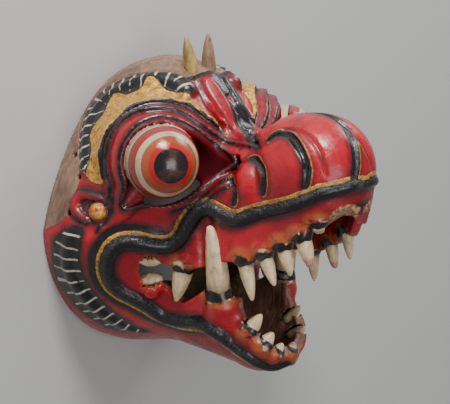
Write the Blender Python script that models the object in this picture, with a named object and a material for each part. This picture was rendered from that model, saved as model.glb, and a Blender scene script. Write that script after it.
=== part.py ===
"""Naga dance mask, carved hollow from one block of light wood, lying on the flat rim of its open back.

The snout points up. x runs across the face, y from the chin to the horns, z from the rim to the snout.
The wearer's right half, at negative x, is drawn, and the left half mirrors it.
"""

import itertools
import math

import bpy
import numpy as np

# Driving sizes, in metres.
MASK_HEIGHT = 0.235
WALL = 0.009
EYE_RADIUS = 0.0256
EYE_SLIT = 0.0055
SOCKET_CLEARANCE = 0.0003
HORN_LENGTH = 0.026
HORN_DIAMETER = 0.0105
HORN_PEG = 0.009
TOOTH_ROOT = 0.006
LASHING_HOLE = 0.0042

# The carving is drawn in millimetres on a mask 235 mm tall, and UNIT turns that drawing into metres.
DRAWN_HEIGHT = 235.0
UNIT = MASK_HEIGHT / DRAWN_HEIGHT
GRID_STEP = 2.5
MASK_TRIANGLES = 5600
BELOW_RIM = 8.0
TOOTH_INSET = 5.0

# The three-quarter view that the carving lines are drawn on, with its own scale of points to a millimetre.
VIEW_TURN = math.radians(50)
VIEW_RISE = math.radians(11)
VIEW_DISTANCE = 1250.0
VIEW_TARGET = np.array([0.0, 19.4, 91.1])
VIEW_CENTRE = np.array([225.0, 202.0])
VIEW_SCALE = 1.39

TO_VIEWER = np.array([
    -math.sin(VIEW_TURN) * math.cos(VIEW_RISE),
    math.sin(VIEW_RISE),
    math.cos(VIEW_TURN) * math.cos(VIEW_RISE),
])
VIEW_RIGHT = np.array([math.cos(VIEW_TURN), 0.0, math.sin(VIEW_TURN)])
VIEW_UP = np.cross(TO_VIEWER, VIEW_RIGHT)

# The eye, drawn from its centre.
EYE_CENTRE = np.array([-68.0, 57.6, 92.0])
GAZE = np.array([-0.538, 0.044, 0.841])

# Carving lines as points on the three-quarter view.
UPPER_LIP = (
    (374, 186), (354, 189), (334, 193), (314, 199), (294, 205), (274, 210), (256, 215), (238, 221),
    (223, 218), (209, 208), (197, 212), (188, 225), (180, 239), (168, 246), (152, 246), (136, 243), (122, 244),
    (112, 251), (107, 264), (109, 278), (118, 290), (135, 299), (149, 307), (162, 316), (178, 321),
    (197, 322), (213, 331), (230, 343), (246, 355), (260, 364), (274, 367), (288, 362),
)
LID_LINE = (
    (236, 160), (226, 153), (215, 146), (204, 137), (194, 130), (183, 124), (173, 120), (159, 118), (141, 124),
    (127, 139), (121, 155), (121, 169), (125, 186), (121, 202), (126, 210), (150, 204), (178, 201), (200, 190),
    (222, 173), (236, 163),
)
MIDDLE_RIDGE = (
    (235, 144), (221, 139), (208, 132), (197, 124), (187, 117), (177, 112), (166, 110), (150, 110), (131, 115),
    (116, 129), (109, 146), (107, 160), (108, 172), (111, 183), (110, 194),
)
OUTER_RIDGE = (
    (227, 137), (217, 128), (208, 121), (197, 113), (187, 107), (176, 104), (166, 103), (150, 103), (131, 110),
    (116, 124), (106, 139), (103, 153), (103, 174), (103, 184),
)
GOLD_BROW = (
    (226, 133), (212, 119), (200, 107), (186, 100), (170, 96), (152, 92), (134, 98), (117, 108), (105, 121),
    (97, 138), (96, 155), (94, 170), (94, 180),
)
TUFT_BROW = (
    (187, 90), (175, 82), (160, 79), (144, 80), (128, 85), (112, 92), (99, 104), (89, 121), (85, 138), (84, 154),
    (84, 168),
)
WHISKER_BAND = (
    (74, 230), (69, 240), (66, 252), (67, 266), (72, 280), (82, 294), (95, 309), (110, 320), (128, 328), (144, 331),
)
EAR_ROLL = ((101, 197), (94, 193), (86, 191), (77, 193), (72, 200), (72, 209), (77, 217), (86, 222))
EAR_STUD = (98, 212)
EYE_SLIT_LINE = ((148, 201), (160, 203), (175, 200), (188, 193), (198, 184))
SLIT_WAY = np.array([-0.68, 0.14, 0.72])
LASHING_HOLES = ((75, 155), (79, 177), (69, 213))

# The open mouth, seen along the near side: the upper gum from the corner forwards, then the lower gum back.
UPPER_GUM = (
    (136, 270), (136, 261), (150, 261), (165, 265), (180, 269), (198, 269), (210, 264), (232, 262), (248, 263),
    (267, 253), (286, 245), (305, 233), (318, 224), (327, 221), (335, 215), (345, 212), (356, 216), (363, 218),
)
LOWER_GUM = (
    (288, 357), (275, 355), (262, 347), (250, 335), (243, 325), (237, 312), (233, 300), (219, 299), (205, 298),
    (202, 291), (194, 297), (183, 303), (175, 300), (168, 291), (160, 285), (150, 284), (140, 281),
)
RIDGE_CREASES = (
    ((195, 84), (206, 103), (222, 128), (238, 147)),
    ((222, 76), (236, 100), (250, 124), (258, 142)),
)
SNOUT_CREASES = (
    ((229, 180), (233, 186), (234, 195), (234, 203)),
    ((247, 160), (255, 162), (260, 172), (262, 182), (261, 193)),
    ((262, 152), (275, 147), (288, 150), (298, 160), (305, 173), (308, 185), (304, 195)),
)


# Teeth as they stand in the jaws: name, base and tip on the three-quarter view, radius at the base,
# radius at the tip and width across for its thickness. Those of the left jaws are seen on the far side.
RIGHT_TEETH = (
    ("upper_molar_right", (151, 258), (151, 265), 5.4, 4.4, 1.7),
    ("upper_fang_right", (182, 267), (173.5, 303), 7.4, 1.2, 1.0),
    ("upper_tooth_right_1", (241, 261), (249, 302), 5.6, 1.0, 1.0),
    ("upper_tooth_right_2", (261, 256), (271, 287), 5.3, 1.1, 1.0),
    ("upper_tooth_right_3", (280, 247), (287.5, 277), 5.5, 1.1, 1.0),
    ("upper_tooth_right_4", (300, 238), (307.5, 267), 5.7, 2.3, 1.0),
    ("upper_tooth_right_5", (318, 224), (319, 233), 4.8, 3.6, 1.0),
    ("lower_molar_right", (151, 284), (150, 277), 5.4, 4.4, 1.7),
    ("lower_tooth_right_1", (248, 331), (259, 316), 5.6, 1.0, 1.0),
    ("lower_tooth_right_2", (265, 346), (273, 335), 5.2, 1.6, 1.0),
    ("lower_tooth_right_3", (279, 354), (285, 346), 4.0, 1.6, 1.0),
    ("lower_tooth_right_4", (297, 353), (299, 344), 3.8, 1.8, 1.0),
)
LEFT_TEETH = (
    ("upper_tooth_left_1", (318, 250), (319.5, 280), 4.8, 1.0, 1.0),
    ("upper_tooth_left_2", (336, 240), (340, 266), 4.6, 2.0, 1.0),
    ("upper_tooth_left_3", (351, 226), (355, 258), 4.8, 1.0, 1.0),
    ("lower_tooth_left_1", (291, 320), (304, 304), 4.2, 1.0, 1.0),
    ("lower_tooth_left_2", (296, 336), (309, 325), 4.8, 1.0, 1.0),
)
MIRRORED_TEETH = ("upper_molar", "upper_fang", "lower_molar")
TUSK = ((-36, -37, 116), (-48, 12, 118), 8.4, 2.6)
HORN_BASE = (-9, 112, 68)
HORN_TIP = (-12, 136, 65)


def unit(vector):
    vector = np.asarray(vector, float)
    return vector / np.linalg.norm(vector)


def smooth_path(points, spacing=4.0):
    """The points joined by a Catmull-Rom curve and spread evenly along it."""
    points = np.asarray(points, float)
    ends = np.vstack([2 * points[0] - points[1], points, 2 * points[-1] - points[-2]])
    t = np.linspace(0, 1, 8, endpoint=False)[:, None]
    pieces = []
    for before, start, end, after in zip(ends, ends[1:], ends[2:], ends[3:]):
        pieces.append(0.5 * (
            2 * start + (end - before) * t + (2 * before - 5 * start + 4 * end - after) * t ** 2
            + (3 * start - before - 3 * end + after) * t ** 3
        ))
    curve = np.vstack(pieces + [points[-1:]])
    run = np.concatenate([[0], np.cumsum(np.linalg.norm(np.diff(curve, axis=0), axis=1))])
    even = np.linspace(0, run[-1], max(3, int(round(run[-1] / spacing)) + 1))
    return np.column_stack([np.interp(even, run, curve[:, axis]) for axis in range(3)])


# Fields. Each takes points as rows and gives how far outside a form they lie, negative within it.

def ellipsoid(p, centre, radii, lean=0.0):
    """An ellipsoid whose upper end leans towards +z by the angle lean."""
    q = p - np.asarray(centre, float)
    if lean:
        y = q[:, 1] * math.cos(lean) + q[:, 2] * math.sin(lean)
        z = q[:, 2] * math.cos(lean) - q[:, 1] * math.sin(lean)
        q = np.column_stack([q[:, 0], y, z])
    radii = np.asarray(radii, float)
    near = np.linalg.norm(q / radii, axis=1)
    slope = np.linalg.norm(q / radii ** 2, axis=1)
    return near * (near - 1) / np.maximum(slope, 1e-6)


def ball(p, centre, radius):
    return np.linalg.norm(p - np.asarray(centre, float), axis=1) - radius


def taper(p, start, end, start_radius, end_radius, flatten=(1, 1, 1)):
    """A round bar from start to end. Flatten stretches distances along each axis."""
    start, end, flatten = (np.asarray(v, float) for v in (start, end, flatten))
    way = (end - start) * flatten
    q = (p - start) * flatten
    share = np.clip(q @ way / (way @ way), 0, 1)
    gap = np.linalg.norm(q - share[:, None] * way, axis=1)
    return gap - (start_radius + (end_radius - start_radius) * share)


def prism(p, outline):
    """An outline drawn in z and y and carried right across the mask."""
    points = p[:, [2, 1]]
    gap = np.full(len(p), 1e6)
    inside = np.zeros(len(p), bool)
    for start, end in zip(outline, np.roll(outline, -1, axis=0)):
        way = end - start
        off = points - start
        share = np.clip(off @ way / (way @ way), 0, 1)
        gap = np.minimum(gap, ((off - share[:, None] * way) ** 2).sum(1))
        crosses = (start[1] > points[:, 1]) != (end[1] > points[:, 1])
        rise = way[1] if way[1] else 1e-9
        inside ^= crosses & (off[:, 0] < off[:, 1] * way[0] / rise)
    return np.where(inside, -1, 1) * np.sqrt(gap)


def moulding(p, path, radius, reach=12.0):
    """A bar along a path. Radius is one number, three for the start, middle and end, or one for each point."""
    if np.ndim(radius) == 0 or len(radius) == 3:
        radius = np.interp(np.linspace(0, 2, len(path)), (0, 1, 2), np.broadcast_to(radius, 3))
    radii = radius
    field = np.full(len(p), 1e3)
    margin = radii.max() + reach
    close = np.flatnonzero(((p > path.min(0) - margin) & (p < path.max(0) + margin)).all(1))
    for start, end, r0, r1 in zip(path, path[1:], radii, radii[1:]):
        nearby = close[((p[close] > np.minimum(start, end) - margin)
                        & (p[close] < np.maximum(start, end) + margin)).all(1)]
        if len(nearby):
            field[nearby] = np.minimum(field[nearby], taper(p[nearby], start, end, r0, r1))
    return field


def join(a, b, soft):
    """Both forms as one, with a fillet about soft wide where they meet."""
    share = np.clip(0.5 + 0.5 * (b - a) / soft, 0, 1)
    return b + (a - b) * share - soft * share * (1 - share)


def carve(a, b, soft):
    """Form a with form b taken out of it, and the edge eased by soft."""
    return -join(-a, b, soft)


def slope_of(field, p, step=0.4):
    """The direction in which the field grows fastest."""
    rise = np.column_stack([
        field(p + step * axis) - field(p - step * axis) for axis in np.eye(3)
    ])
    return rise / np.maximum(np.linalg.norm(rise, axis=1), 1e-9)[:, None]


def drawn_half(p):
    """Every point brought to the drawn half of the mask."""
    return np.column_stack([-np.abs(p[:, 0]), p[:, 1], p[:, 2]])


# The block as it is roughed out, before any line is carved on it.

def head(p, wall=0.0):
    """The bowl of the mask, which narrows towards the crown."""
    q = p.copy()
    q[:, 0] *= 1 + 0.0035 * np.clip(p[:, 1], 0, 100)
    return ellipsoid(q, (0, 14, 26), np.array([99, 110, 82]) - wall, math.radians(17))


def bridge(p, wall=0.0):
    """The straight ridge down the forehead and the run of the snout to the nose."""
    forehead = taper(p, (0, 103, 76), (0, 62, 106), 8 - wall / 2, 13 - wall / 2)
    snout = taper(p, (0, 42, 100), (0, 50, 160), 29 - wall, 34 - wall)
    nose = ball(p, (0, 53, 176), 38.5 - wall)
    return join(join(forehead, snout, 8), nose, 6)


def folds(p):
    """The three swellings of the snarl along each side of the snout."""
    front = ellipsoid(p, (-19, 48, 163), (21.5, 24, 26))
    middle = ellipsoid(p, (-23, 41, 141), (21, 20, 17))
    back = ellipsoid(p, (-29, 34, 122), (17, 16, 14))
    return np.minimum(np.minimum(front, middle), back)


def upper_plan(p, wall=0.0):
    return taper(p * (1, 0, 1), (0, 0, 70), (0, 0, 174), 56 - wall, 35 - wall)


def lower_plan(p, wall=0.0):
    return taper(p * (1, 0, 1), (0, 0, 60), (0, 0, 127), 53 - wall, 33.5 - wall)


def upper_jaw(p):
    """The muzzle, upright from the gums to the lip and rounded over towards the nose."""
    side = upper_plan(p, -0.5) + 15
    top = np.abs(p[:, 1] - 5) - 40 + 15
    return np.minimum(np.maximum(side, top), 0) + np.hypot(np.maximum(side, 0), np.maximum(top, 0)) - 15


def lower_jaw(p, wall=0.0):
    return taper(p, (0, -36, 60), (0, -65, 127), 53 - wall, 33.5 - wall)


def tusk_seats(p):
    """The swellings of the lower jaw that hold the tusks."""
    return taper(p, (-33, -58, 114), (-34, -47, 117), 11, 11)


def block(p):
    p = drawn_half(p)
    form = join(head(p), ball(p, (-45, 55, 65), 43), 14)
    form = join(form, bridge(p), 10)
    form = join(form, upper_jaw(p), 12)
    form = join(form, lower_jaw(p), 14)
    form = join(form, tusk_seats(p), 8)
    return join(form, folds(p), 3)


def sight(points):
    """Where lines of sight through points of the three-quarter view start, and their directions."""
    points = (np.asarray(points, float) - VIEW_CENTRE) / VIEW_SCALE
    eye = VIEW_TARGET + TO_VIEWER * VIEW_DISTANCE
    through = VIEW_TARGET + points[:, :1] * VIEW_RIGHT - points[:, 1:] * VIEW_UP
    ways = through - eye
    return eye, ways / np.linalg.norm(ways, axis=1)[:, None]


def landed(points, field, far=False):
    """Points of the view brought onto a form, or to where their line of sight passes closest to it."""
    eye, ways = sight(points)
    reach = np.arange(VIEW_DISTANCE - 190, VIEW_DISTANCE + 150, 0.5)
    found = []
    for way in ways:
        line = eye + reach[:, None] * way
        depth = field(line)
        inside = np.flatnonzero(depth < 0)
        if len(inside):
            found.append(line[inside[-1 if far else 0]])
        else:
            found.append(line[depth.argmin()])
    return np.array(found)


def carved_path(points, sink=0.0):
    """A line of the view laid on the block and let into it by sink."""
    path = smooth_path(landed(points, block))
    path[:, 0] = np.minimum(path[:, 0], 0)
    return path - sink * slope_of(block, path)


# The carving. Right and left are those of the wearer.

def carving():
    """The field of the whole mask: the block with its relief, hollow, mouth and eye slits."""
    lip = carved_path(UPPER_LIP, 1.0)
    lip_radius = np.interp(np.arange(len(lip)), (0, 22, 40, len(lip) - 20, len(lip)), (3.6, 4.2, 5.4, 5.4, 3.8))
    lid = carved_path(LID_LINE, 0.5)
    ridges = [(carved_path(MIDDLE_RIDGE, 0.5), 2.6), (carved_path(OUTER_RIDGE, 0.5), 2.6)]
    gold_brow = carved_path(GOLD_BROW, 3.5)
    tuft_brow = carved_path(TUFT_BROW, 1.5)
    whiskers = carved_path(WHISKER_BAND, 5.0)
    ear = carved_path(EAR_ROLL, 0.5)
    stud = landed([EAR_STUD], block)[0]
    creases = [carved_path(line, -0.5) for line in SNOUT_CREASES + RIDGE_CREASES]
    mouth_line = landed(UPPER_GUM + LOWER_GUM, block)[:, [2, 1]]
    front = [(240, mouth_line[len(UPPER_GUM) - 1, 1]), (240, mouth_line[len(UPPER_GUM), 1] - 12)]
    mouth = np.insert(mouth_line, len(UPPER_GUM), front, axis=0)
    inner_corner = landed([(238, 163)], block)[0]
    outer_corner = landed([(124, 207)], block)[0]
    slit = smooth_path(landed(EYE_SLIT_LINE, block))
    wall = WALL / UNIT
    eye_radius = EYE_RADIUS / UNIT
    slit_radius = EYE_SLIT / UNIT / 2
    hole_radius = LASHING_HOLE / UNIT / 2
    holes = [(point, -slope_of(block, point[None])[0]) for point in landed(LASHING_HOLES, block)]

    def relief(q):
        form = block(q)
        form = join(form, moulding(q, gold_brow, (3.5, 8, 6)), 3)
        form = join(form, moulding(q, tuft_brow, 5), 2)
        form = join(form, moulding(q, whiskers, (6, 9, 6)), 2)
        socket = taper(q, EYE_CENTRE + 7 * GAZE, inner_corner + 2 * GAZE, eye_radius + 2.5, 4)
        socket = join(socket, taper(q, EYE_CENTRE + 7 * GAZE, outer_corner, eye_radius, 3), 3)
        form = carve(form, socket, 2)
        for path, radius in ridges:
            form = join(form, moulding(q, path, (1.5, radius, 1.5)), 1)
        form = join(form, moulding(q, lid, 1.9), 1)
        for path in creases:
            form = carve(form, moulding(q, path, (1, 2.5, 1)), 1.5)
        form = carve(form, taper(q, (-53, 16, 114), (-49, -16, 117), 8, 9), 4)
        form = join(form, moulding(q, lip, lip_radius), 1.5)
        form = join(form, moulding(q, ear, (3, 5, 3.5)), 1)
        form = join(form, ball(q, stud, 6.5), 0.5)
        return np.minimum(form, ball(q, EYE_CENTRE, eye_radius))

    def hollow(q):
        space = head(q, wall)
        space = join(space, taper(q, (0, 34, 70), (0, 44, 150), 32, 22), 10)
        behind_eye = taper(q, EYE_CENTRE, (-44, 46, 52), eye_radius - wall, eye_radius - wall / 2)
        space = join(space, behind_eye, 4)
        palate = np.maximum(upper_plan(q, wall), q[:, 1] - 38)
        over_trough = np.maximum(-36 - 0.433 * (q[:, 2] - 60) - q[:, 1], q[:, 1] + 16)
        trough = np.minimum(lower_jaw(q, wall), np.maximum(lower_plan(q, wall), over_trough))
        throat = np.minimum(np.maximum(palate, -q[:, 1] - 20), trough)
        return join(space, throat, 5)

    def field(p):
        q = drawn_half(p)
        form = carve(relief(q), hollow(q), 2)
        hang = q.copy()
        hang[:, 1] += 7 * np.clip((p[:, 0] + 5) / 35, 0, 1) * np.clip((q[:, 1] + 30) / 20, 0, 1)
        form = carve(form, prism(hang, mouth), 1.5)
        form = np.maximum(form, -BELOW_RIM - q[:, 2])
        for point in slit:
            form = carve(form, taper(q, point + 12 * SLIT_WAY, point - 34 * SLIT_WAY, slit_radius, slit_radius), 0.5)
        for point, way in holes:
            form = np.maximum(form, -taper(q, point - 12 * way, point + 22 * way, hole_radius, hole_radius))
        return form

    return field


def meshed(field, low, high, step):
    """Corners and four-sided faces of the skin where the field passes through nothing."""
    low = np.asarray(low, float)
    blocks = np.ceil((np.asarray(high) - low) / (4 * step)).astype(int)
    size = blocks * 4 + 1
    centres = np.stack(np.meshgrid(*[np.arange(n) for n in blocks], indexing="ij"), -1).reshape(-1, 3)
    rough = field(low + (centres * 4 + 2) * step)
    values = np.repeat(np.repeat(np.repeat(rough.reshape(blocks), 4, 0), 4, 1), 4, 2)
    values = np.pad(values, ((0, 1), (0, 1), (0, 1)), mode="edge")
    corners = np.array(list(itertools.product(range(5), repeat=3)))
    near = centres[np.abs(rough) < 4 * step * 1.25]
    wanted = np.zeros(size, bool)
    nodes = (near[:, None] * 4 + corners[None]).reshape(-1, 3)
    wanted[nodes[:, 0], nodes[:, 1], nodes[:, 2]] = True
    nodes = np.argwhere(wanted)
    values[wanted] = field(low + nodes * step)
    inside = values < 0
    inside[[0, -1]] = inside[:, [0, -1]] = inside[:, :, [0, -1]] = False
    inside = without_pinches(inside, np.abs(values))
    values = np.where(inside, -np.abs(values) - 1e-3, np.abs(values) + 1e-3)

    cell_sum = np.zeros(tuple(size - 1) + (3,))
    cell_count = np.zeros(size - 1, int)
    crossings = []
    for axis in range(3):
        start = [slice(None)] * 3
        end = [slice(None)] * 3
        start[axis] = slice(0, -1)
        end[axis] = slice(1, None)
        a = values[tuple(start)]
        b = values[tuple(end)]
        edge = np.argwhere((a < 0) != (b < 0))
        va = a[edge[:, 0], edge[:, 1], edge[:, 2]]
        vb = b[edge[:, 0], edge[:, 1], edge[:, 2]]
        place = edge.astype(float)
        place[:, axis] += np.clip(va / (va - vb), 0.05, 0.95)
        u, v = [other for other in range(3) if other != axis]
        ring = []
        for du, dv in ((0, 0), (-1, 0), (-1, -1), (0, -1)):
            cell = edge.copy()
            cell[:, u] += du
            cell[:, v] += dv
            np.add.at(cell_sum, tuple(cell.T), place)
            np.add.at(cell_count, tuple(cell.T), 1)
            ring.append(cell)
        crossings.append((np.stack(ring, 1), (va < 0) != (axis == 1)))
    number = np.full(size - 1, -1)
    used = np.argwhere(cell_count > 0)
    number[tuple(used.T)] = np.arange(len(used))
    points = low + step * cell_sum[tuple(used.T)] / cell_count[tuple(used.T)][:, None]
    faces = []
    for ring, forward in crossings:
        quads = number[ring[..., 0], ring[..., 1], ring[..., 2]]
        faces.append(np.where(forward[:, None], quads, quads[:, ::-1]))
    points, faces = largest_part(points, np.vstack(faces))
    for _ in range(2):
        value = field(points)
        points = points - np.clip(value, -step / 3, step / 3)[:, None] * slope_of(field, points)
    return points, faces


def largest_part(points, faces):
    """The skin without the specks of wood and the closed bubbles that thin places leave."""
    label = np.arange(len(points))
    changed = True
    while changed:
        before = label.copy()
        lowest = label[faces].min(1)
        for corner in range(4):
            np.minimum.at(label, faces[:, corner], lowest)
        label = label[label]
        changed = (label != before).any()
    faces = faces[label[faces[:, 0]] == np.bincount(label).argmax()]
    kept, faces = np.unique(faces, return_inverse=True)
    return points[kept], faces.reshape(-1, 4)


def without_pinches(inside, depth):
    """Fills corners in until no cell of the grid holds two parts of the skin that touch."""
    corners = list(itertools.product((0, 1), repeat=3))
    order = {corner: index for index, corner in enumerate(corners)}

    def one_piece(members):
        if not members:
            return True
        reached = {next(iter(members))}
        grown = True
        while grown:
            grown = False
            for corner in list(reached):
                for axis in range(3):
                    other = tuple(c ^ (i == axis) for i, c in enumerate(corner))
                    if other in members and other not in reached:
                        reached.add(other)
                        grown = True
        return len(reached) == len(members)

    bad = np.zeros(256, bool)
    for code in range(256):
        full = {corner for corner in corners if code >> order[corner] & 1}
        empty = set(corners) - full
        bad[code] = not (one_piece(full) and one_piece(empty))
    shape = tuple(n - 1 for n in inside.shape)
    for _ in range(60):
        code = np.zeros(shape, int)
        for corner, index in order.items():
            part = tuple(slice(c, c + n) for c, n in zip(corner, shape))
            code |= inside[part].astype(int) << index
        cells = np.argwhere(bad[code])
        if not len(cells):
            break
        around = cells[:, None] + np.array(corners)[None]
        i, j, k = around[..., 0], around[..., 1], around[..., 2]
        gaps = np.where(inside[i, j, k], np.inf, depth[i, j, k])
        pick = around[np.arange(len(cells)), gaps.argmin(1)]
        inside[tuple(pick.T)] = True
    return inside


# Teeth and horns, each a separate peg.

def peg(base, tip, radius, blunt, wide=1.0, bow=0.0, root=0.0, grow=0.0, sides=8, rings=4):
    """Corners and faces of a tapered peg that starts root behind its base and bows sideways by bow."""
    base = np.asarray(base, float)
    tip = np.asarray(tip, float)
    way = unit(tip - base)
    side = unit(np.cross(way, TO_VIEWER))
    other = np.cross(way, side)
    length = np.linalg.norm(tip - base)
    points = []
    for ring in range(rings + 1):
        share = (ring - 1) / (rings - 1)
        if ring == 0:
            along = -root - grow
            share = 0.0
        else:
            along = share * length
        centre = base + way * along + side * bow * math.sin(math.pi * share)
        width = radius + (blunt - radius) * share ** 1.8 + grow
        if ring == 0:
            width = radius * 0.85 + grow
        for turn in range(sides):
            angle = 2 * math.pi * turn / sides
            points.append(centre + width * (side * wide * math.cos(angle) + other * math.sin(angle)))
    faces = [tuple(reversed(range(sides)))]
    for ring in range(rings):
        for turn in range(sides):
            a = ring * sides + turn
            b = ring * sides + (turn + 1) % sides
            faces.append((a, b, b + sides, a + sides))
    top = rings * sides
    points.append(np.mean(points[top:top + sides], axis=0) + way * blunt * 0.5)
    for turn in range(sides):
        faces.append((top + turn, top + (turn + 1) % sides, len(points) - 1))
    return points, faces


def mirrored(points):
    return [np.array([-x, y, z]) for x, y, z in points]


def tooth_rows():
    """Every tooth and horn as its name and the sizes of its peg."""
    root = TOOTH_ROOT / UNIT
    rows = []
    for far, teeth in ((False, RIGHT_TEETH), (True, LEFT_TEETH)):
        for name, base, tip, radius, blunt, wide in teeth:
            point = landed([base], block, far)[0]
            outward = slope_of(block, point[None])[0]
            outward = unit(outward * (1, 0, 1))
            depth = TO_VIEWER @ (VIEW_TARGET - point) + VIEW_DISTANCE
            across, down = (np.array(tip) - base) * depth / VIEW_DISTANCE / VIEW_SCALE
            point = point - outward * TOOTH_INSET
            along = across * VIEW_RIGHT - down * VIEW_UP
            along = along - TO_VIEWER * (along @ outward) / (TO_VIEWER @ outward)
            rows.append((name, dict(
                base=point, tip=point + along, radius=radius, blunt=blunt, wide=wide, root=root
            )))
    for name, sizes in list(rows):
        if name.replace("_right", "") in MIRRORED_TEETH:
            base, tip = mirrored((sizes["base"], sizes["tip"]))
            rows.append((name.replace("right", "left"), dict(sizes, base=base, tip=tip)))
    base, tip, radius, blunt = TUSK
    tusk = dict(base=base, tip=tip, radius=radius, blunt=blunt, bow=1.0, root=root, rings=6, sides=10)
    rows.append(("lower_tusk_right", tusk))
    base, tip = mirrored((base, tip))
    rows.append(("lower_tusk_left", dict(tusk, base=base, tip=tip, bow=-1.0)))
    base = np.array(HORN_BASE, float)
    tip = base + unit(np.array(HORN_TIP) - base) * HORN_LENGTH / UNIT
    horn = dict(base=base, tip=tip, radius=HORN_DIAMETER / UNIT / 2, blunt=0.8, root=HORN_PEG / UNIT)
    rows.append(("horn_right", horn))
    base, tip = mirrored((base, tip))
    rows.append(("horn_left", dict(horn, base=base, tip=tip)))
    return rows


# The solids.

def material(name, colour, roughness):
    shade = bpy.data.materials.new(name)
    shade.use_nodes = True
    principled = shade.node_tree.nodes["Principled BSDF"]
    principled.inputs["Base Color"].default_value = (*colour, 1)
    principled.inputs["Roughness"].default_value = roughness
    return shade


def solid(name, points, faces, shade=None):
    mesh = bpy.data.meshes.new(name)
    mesh.from_pydata([tuple(p) for p in points], [], [tuple(f) for f in faces])
    mesh.shade_smooth()
    obj = bpy.data.objects.new(name, mesh)
    bpy.context.scene.collection.objects.link(obj)
    if shade:
        mesh.materials.append(shade)
    return obj


def cutter(name, points, faces):
    obj = solid(name, points, faces)
    obj.hide_render = True
    obj.display_type = "WIRE"
    return obj


def cut_out(obj, tool):
    change = obj.modifiers.new(tool.name, "BOOLEAN")
    change.operation = "DIFFERENCE"
    change.solver = "EXACT"
    change.object = tool


def box(low, high):
    points = [np.array(corner) for corner in itertools.product(*zip(low, high))]
    faces = ((0, 1, 3, 2), (4, 6, 7, 5), (0, 4, 5, 1), (2, 3, 7, 6), (0, 2, 6, 4), (1, 5, 7, 3))
    return points, faces


def main():
    for obj in list(bpy.data.objects):
        bpy.data.objects.remove(obj)

    rows = tooth_rows()
    points, faces = meshed(carving(), (-106, -112, -BELOW_RIM - 4), (106, 130, 232), GRID_STEP)
    low = np.minimum(points.min(0), 0)
    high = points.max(0)
    top = max(sizes["tip"][1] for name, sizes in rows)
    middle = np.array([0, (low[1] + top) / 2, 0])

    body = solid("mask_body", (points - middle) * UNIT, faces, material("painted_wood", (0.55, 0.02, 0.02), 0.3))
    thin = body.modifiers.new("fewer_faces", "DECIMATE")
    thin.ratio = MASK_TRIANGLES / (2 * len(faces))
    points, faces = box((-0.2, -0.2, -0.05), (0.2, 0.2, 0))
    cut_out(body, cutter("back_cutter", points, faces))

    tooth = material("tooth", (0.75, 0.66, 0.5), 0.35)
    gilt = material("gilded_wood", (0.45, 0.32, 0.1), 0.4)
    bare = material("bare_wood", (0.25, 0.15, 0.08), 0.6)
    shades = {"horn_right": gilt, "horn_left": bare}
    sockets = {"upper_sockets": ([], []), "lower_sockets": ([], []), "horn_sockets": ([], [])}
    for name, sizes in rows:
        points, faces = peg(**sizes)
        solid(name, [(p - middle) * UNIT for p in points], faces, shades.get(name, tooth))
        points, faces = peg(**sizes, grow=SOCKET_CLEARANCE / UNIT)
        all_points, all_faces = sockets[name.split("_")[0] + "_sockets"]
        start = len(all_points)
        all_points += [(p - middle) * UNIT for p in points]
        all_faces += [tuple(corner + start for corner in face) for face in faces]
    for name, (points, faces) in sockets.items():
        cut_out(body, cutter(name, points, faces))


if __name__ == "__main__":
    main()
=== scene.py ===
"""Looks of the carved and painted naga dance mask: fine relief, paint, teeth, floor, light and camera.

Drawing coordinates are millimetres: x across the face, y from the chin to the horns, z from the rim to
the snout. Row coordinates are metres, with the same axes and the mask centred on y.
"""

import itertools
import math

import bpy
import numpy as np
from mathutils import Matrix, Vector


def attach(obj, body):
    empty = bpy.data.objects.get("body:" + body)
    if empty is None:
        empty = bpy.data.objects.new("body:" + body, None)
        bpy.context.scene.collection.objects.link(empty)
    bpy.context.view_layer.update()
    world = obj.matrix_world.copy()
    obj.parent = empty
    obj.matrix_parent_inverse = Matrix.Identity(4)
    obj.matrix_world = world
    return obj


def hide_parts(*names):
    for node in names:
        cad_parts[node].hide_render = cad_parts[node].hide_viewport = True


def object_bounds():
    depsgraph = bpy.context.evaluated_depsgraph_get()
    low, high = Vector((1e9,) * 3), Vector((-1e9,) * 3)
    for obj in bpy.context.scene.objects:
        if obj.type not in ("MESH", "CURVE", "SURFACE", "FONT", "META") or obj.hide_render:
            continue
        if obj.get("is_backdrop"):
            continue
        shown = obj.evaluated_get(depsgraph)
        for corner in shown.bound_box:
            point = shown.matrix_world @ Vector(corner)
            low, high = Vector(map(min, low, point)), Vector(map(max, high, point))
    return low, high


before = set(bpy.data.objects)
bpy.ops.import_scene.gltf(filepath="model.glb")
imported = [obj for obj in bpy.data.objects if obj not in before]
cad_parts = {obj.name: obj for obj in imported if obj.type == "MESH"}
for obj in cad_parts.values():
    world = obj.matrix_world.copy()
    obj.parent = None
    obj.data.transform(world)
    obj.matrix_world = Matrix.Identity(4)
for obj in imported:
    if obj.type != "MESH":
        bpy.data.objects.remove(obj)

CAD_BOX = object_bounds()

UNIT = 0.001
MIDDLE = np.array([0.0, 19.55, 0.0])
GRID_STEP = 1.45
BLOCK_CELLS = 4
MASK_TRIANGLES = 192000
BEND_GAIN = 2.6
WALL = 9.0
EYE_RADIUS = 25.6
EYE_SLIT = 5.5
HOLE_RADIUS = 2.1
TOOTH_ROOT = 6.0
TOOTH_INSET = 5.0
HORN_LENGTH = 26.0
HORN_RADIUS = 5.25
HORN_PEG = 9.0

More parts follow.
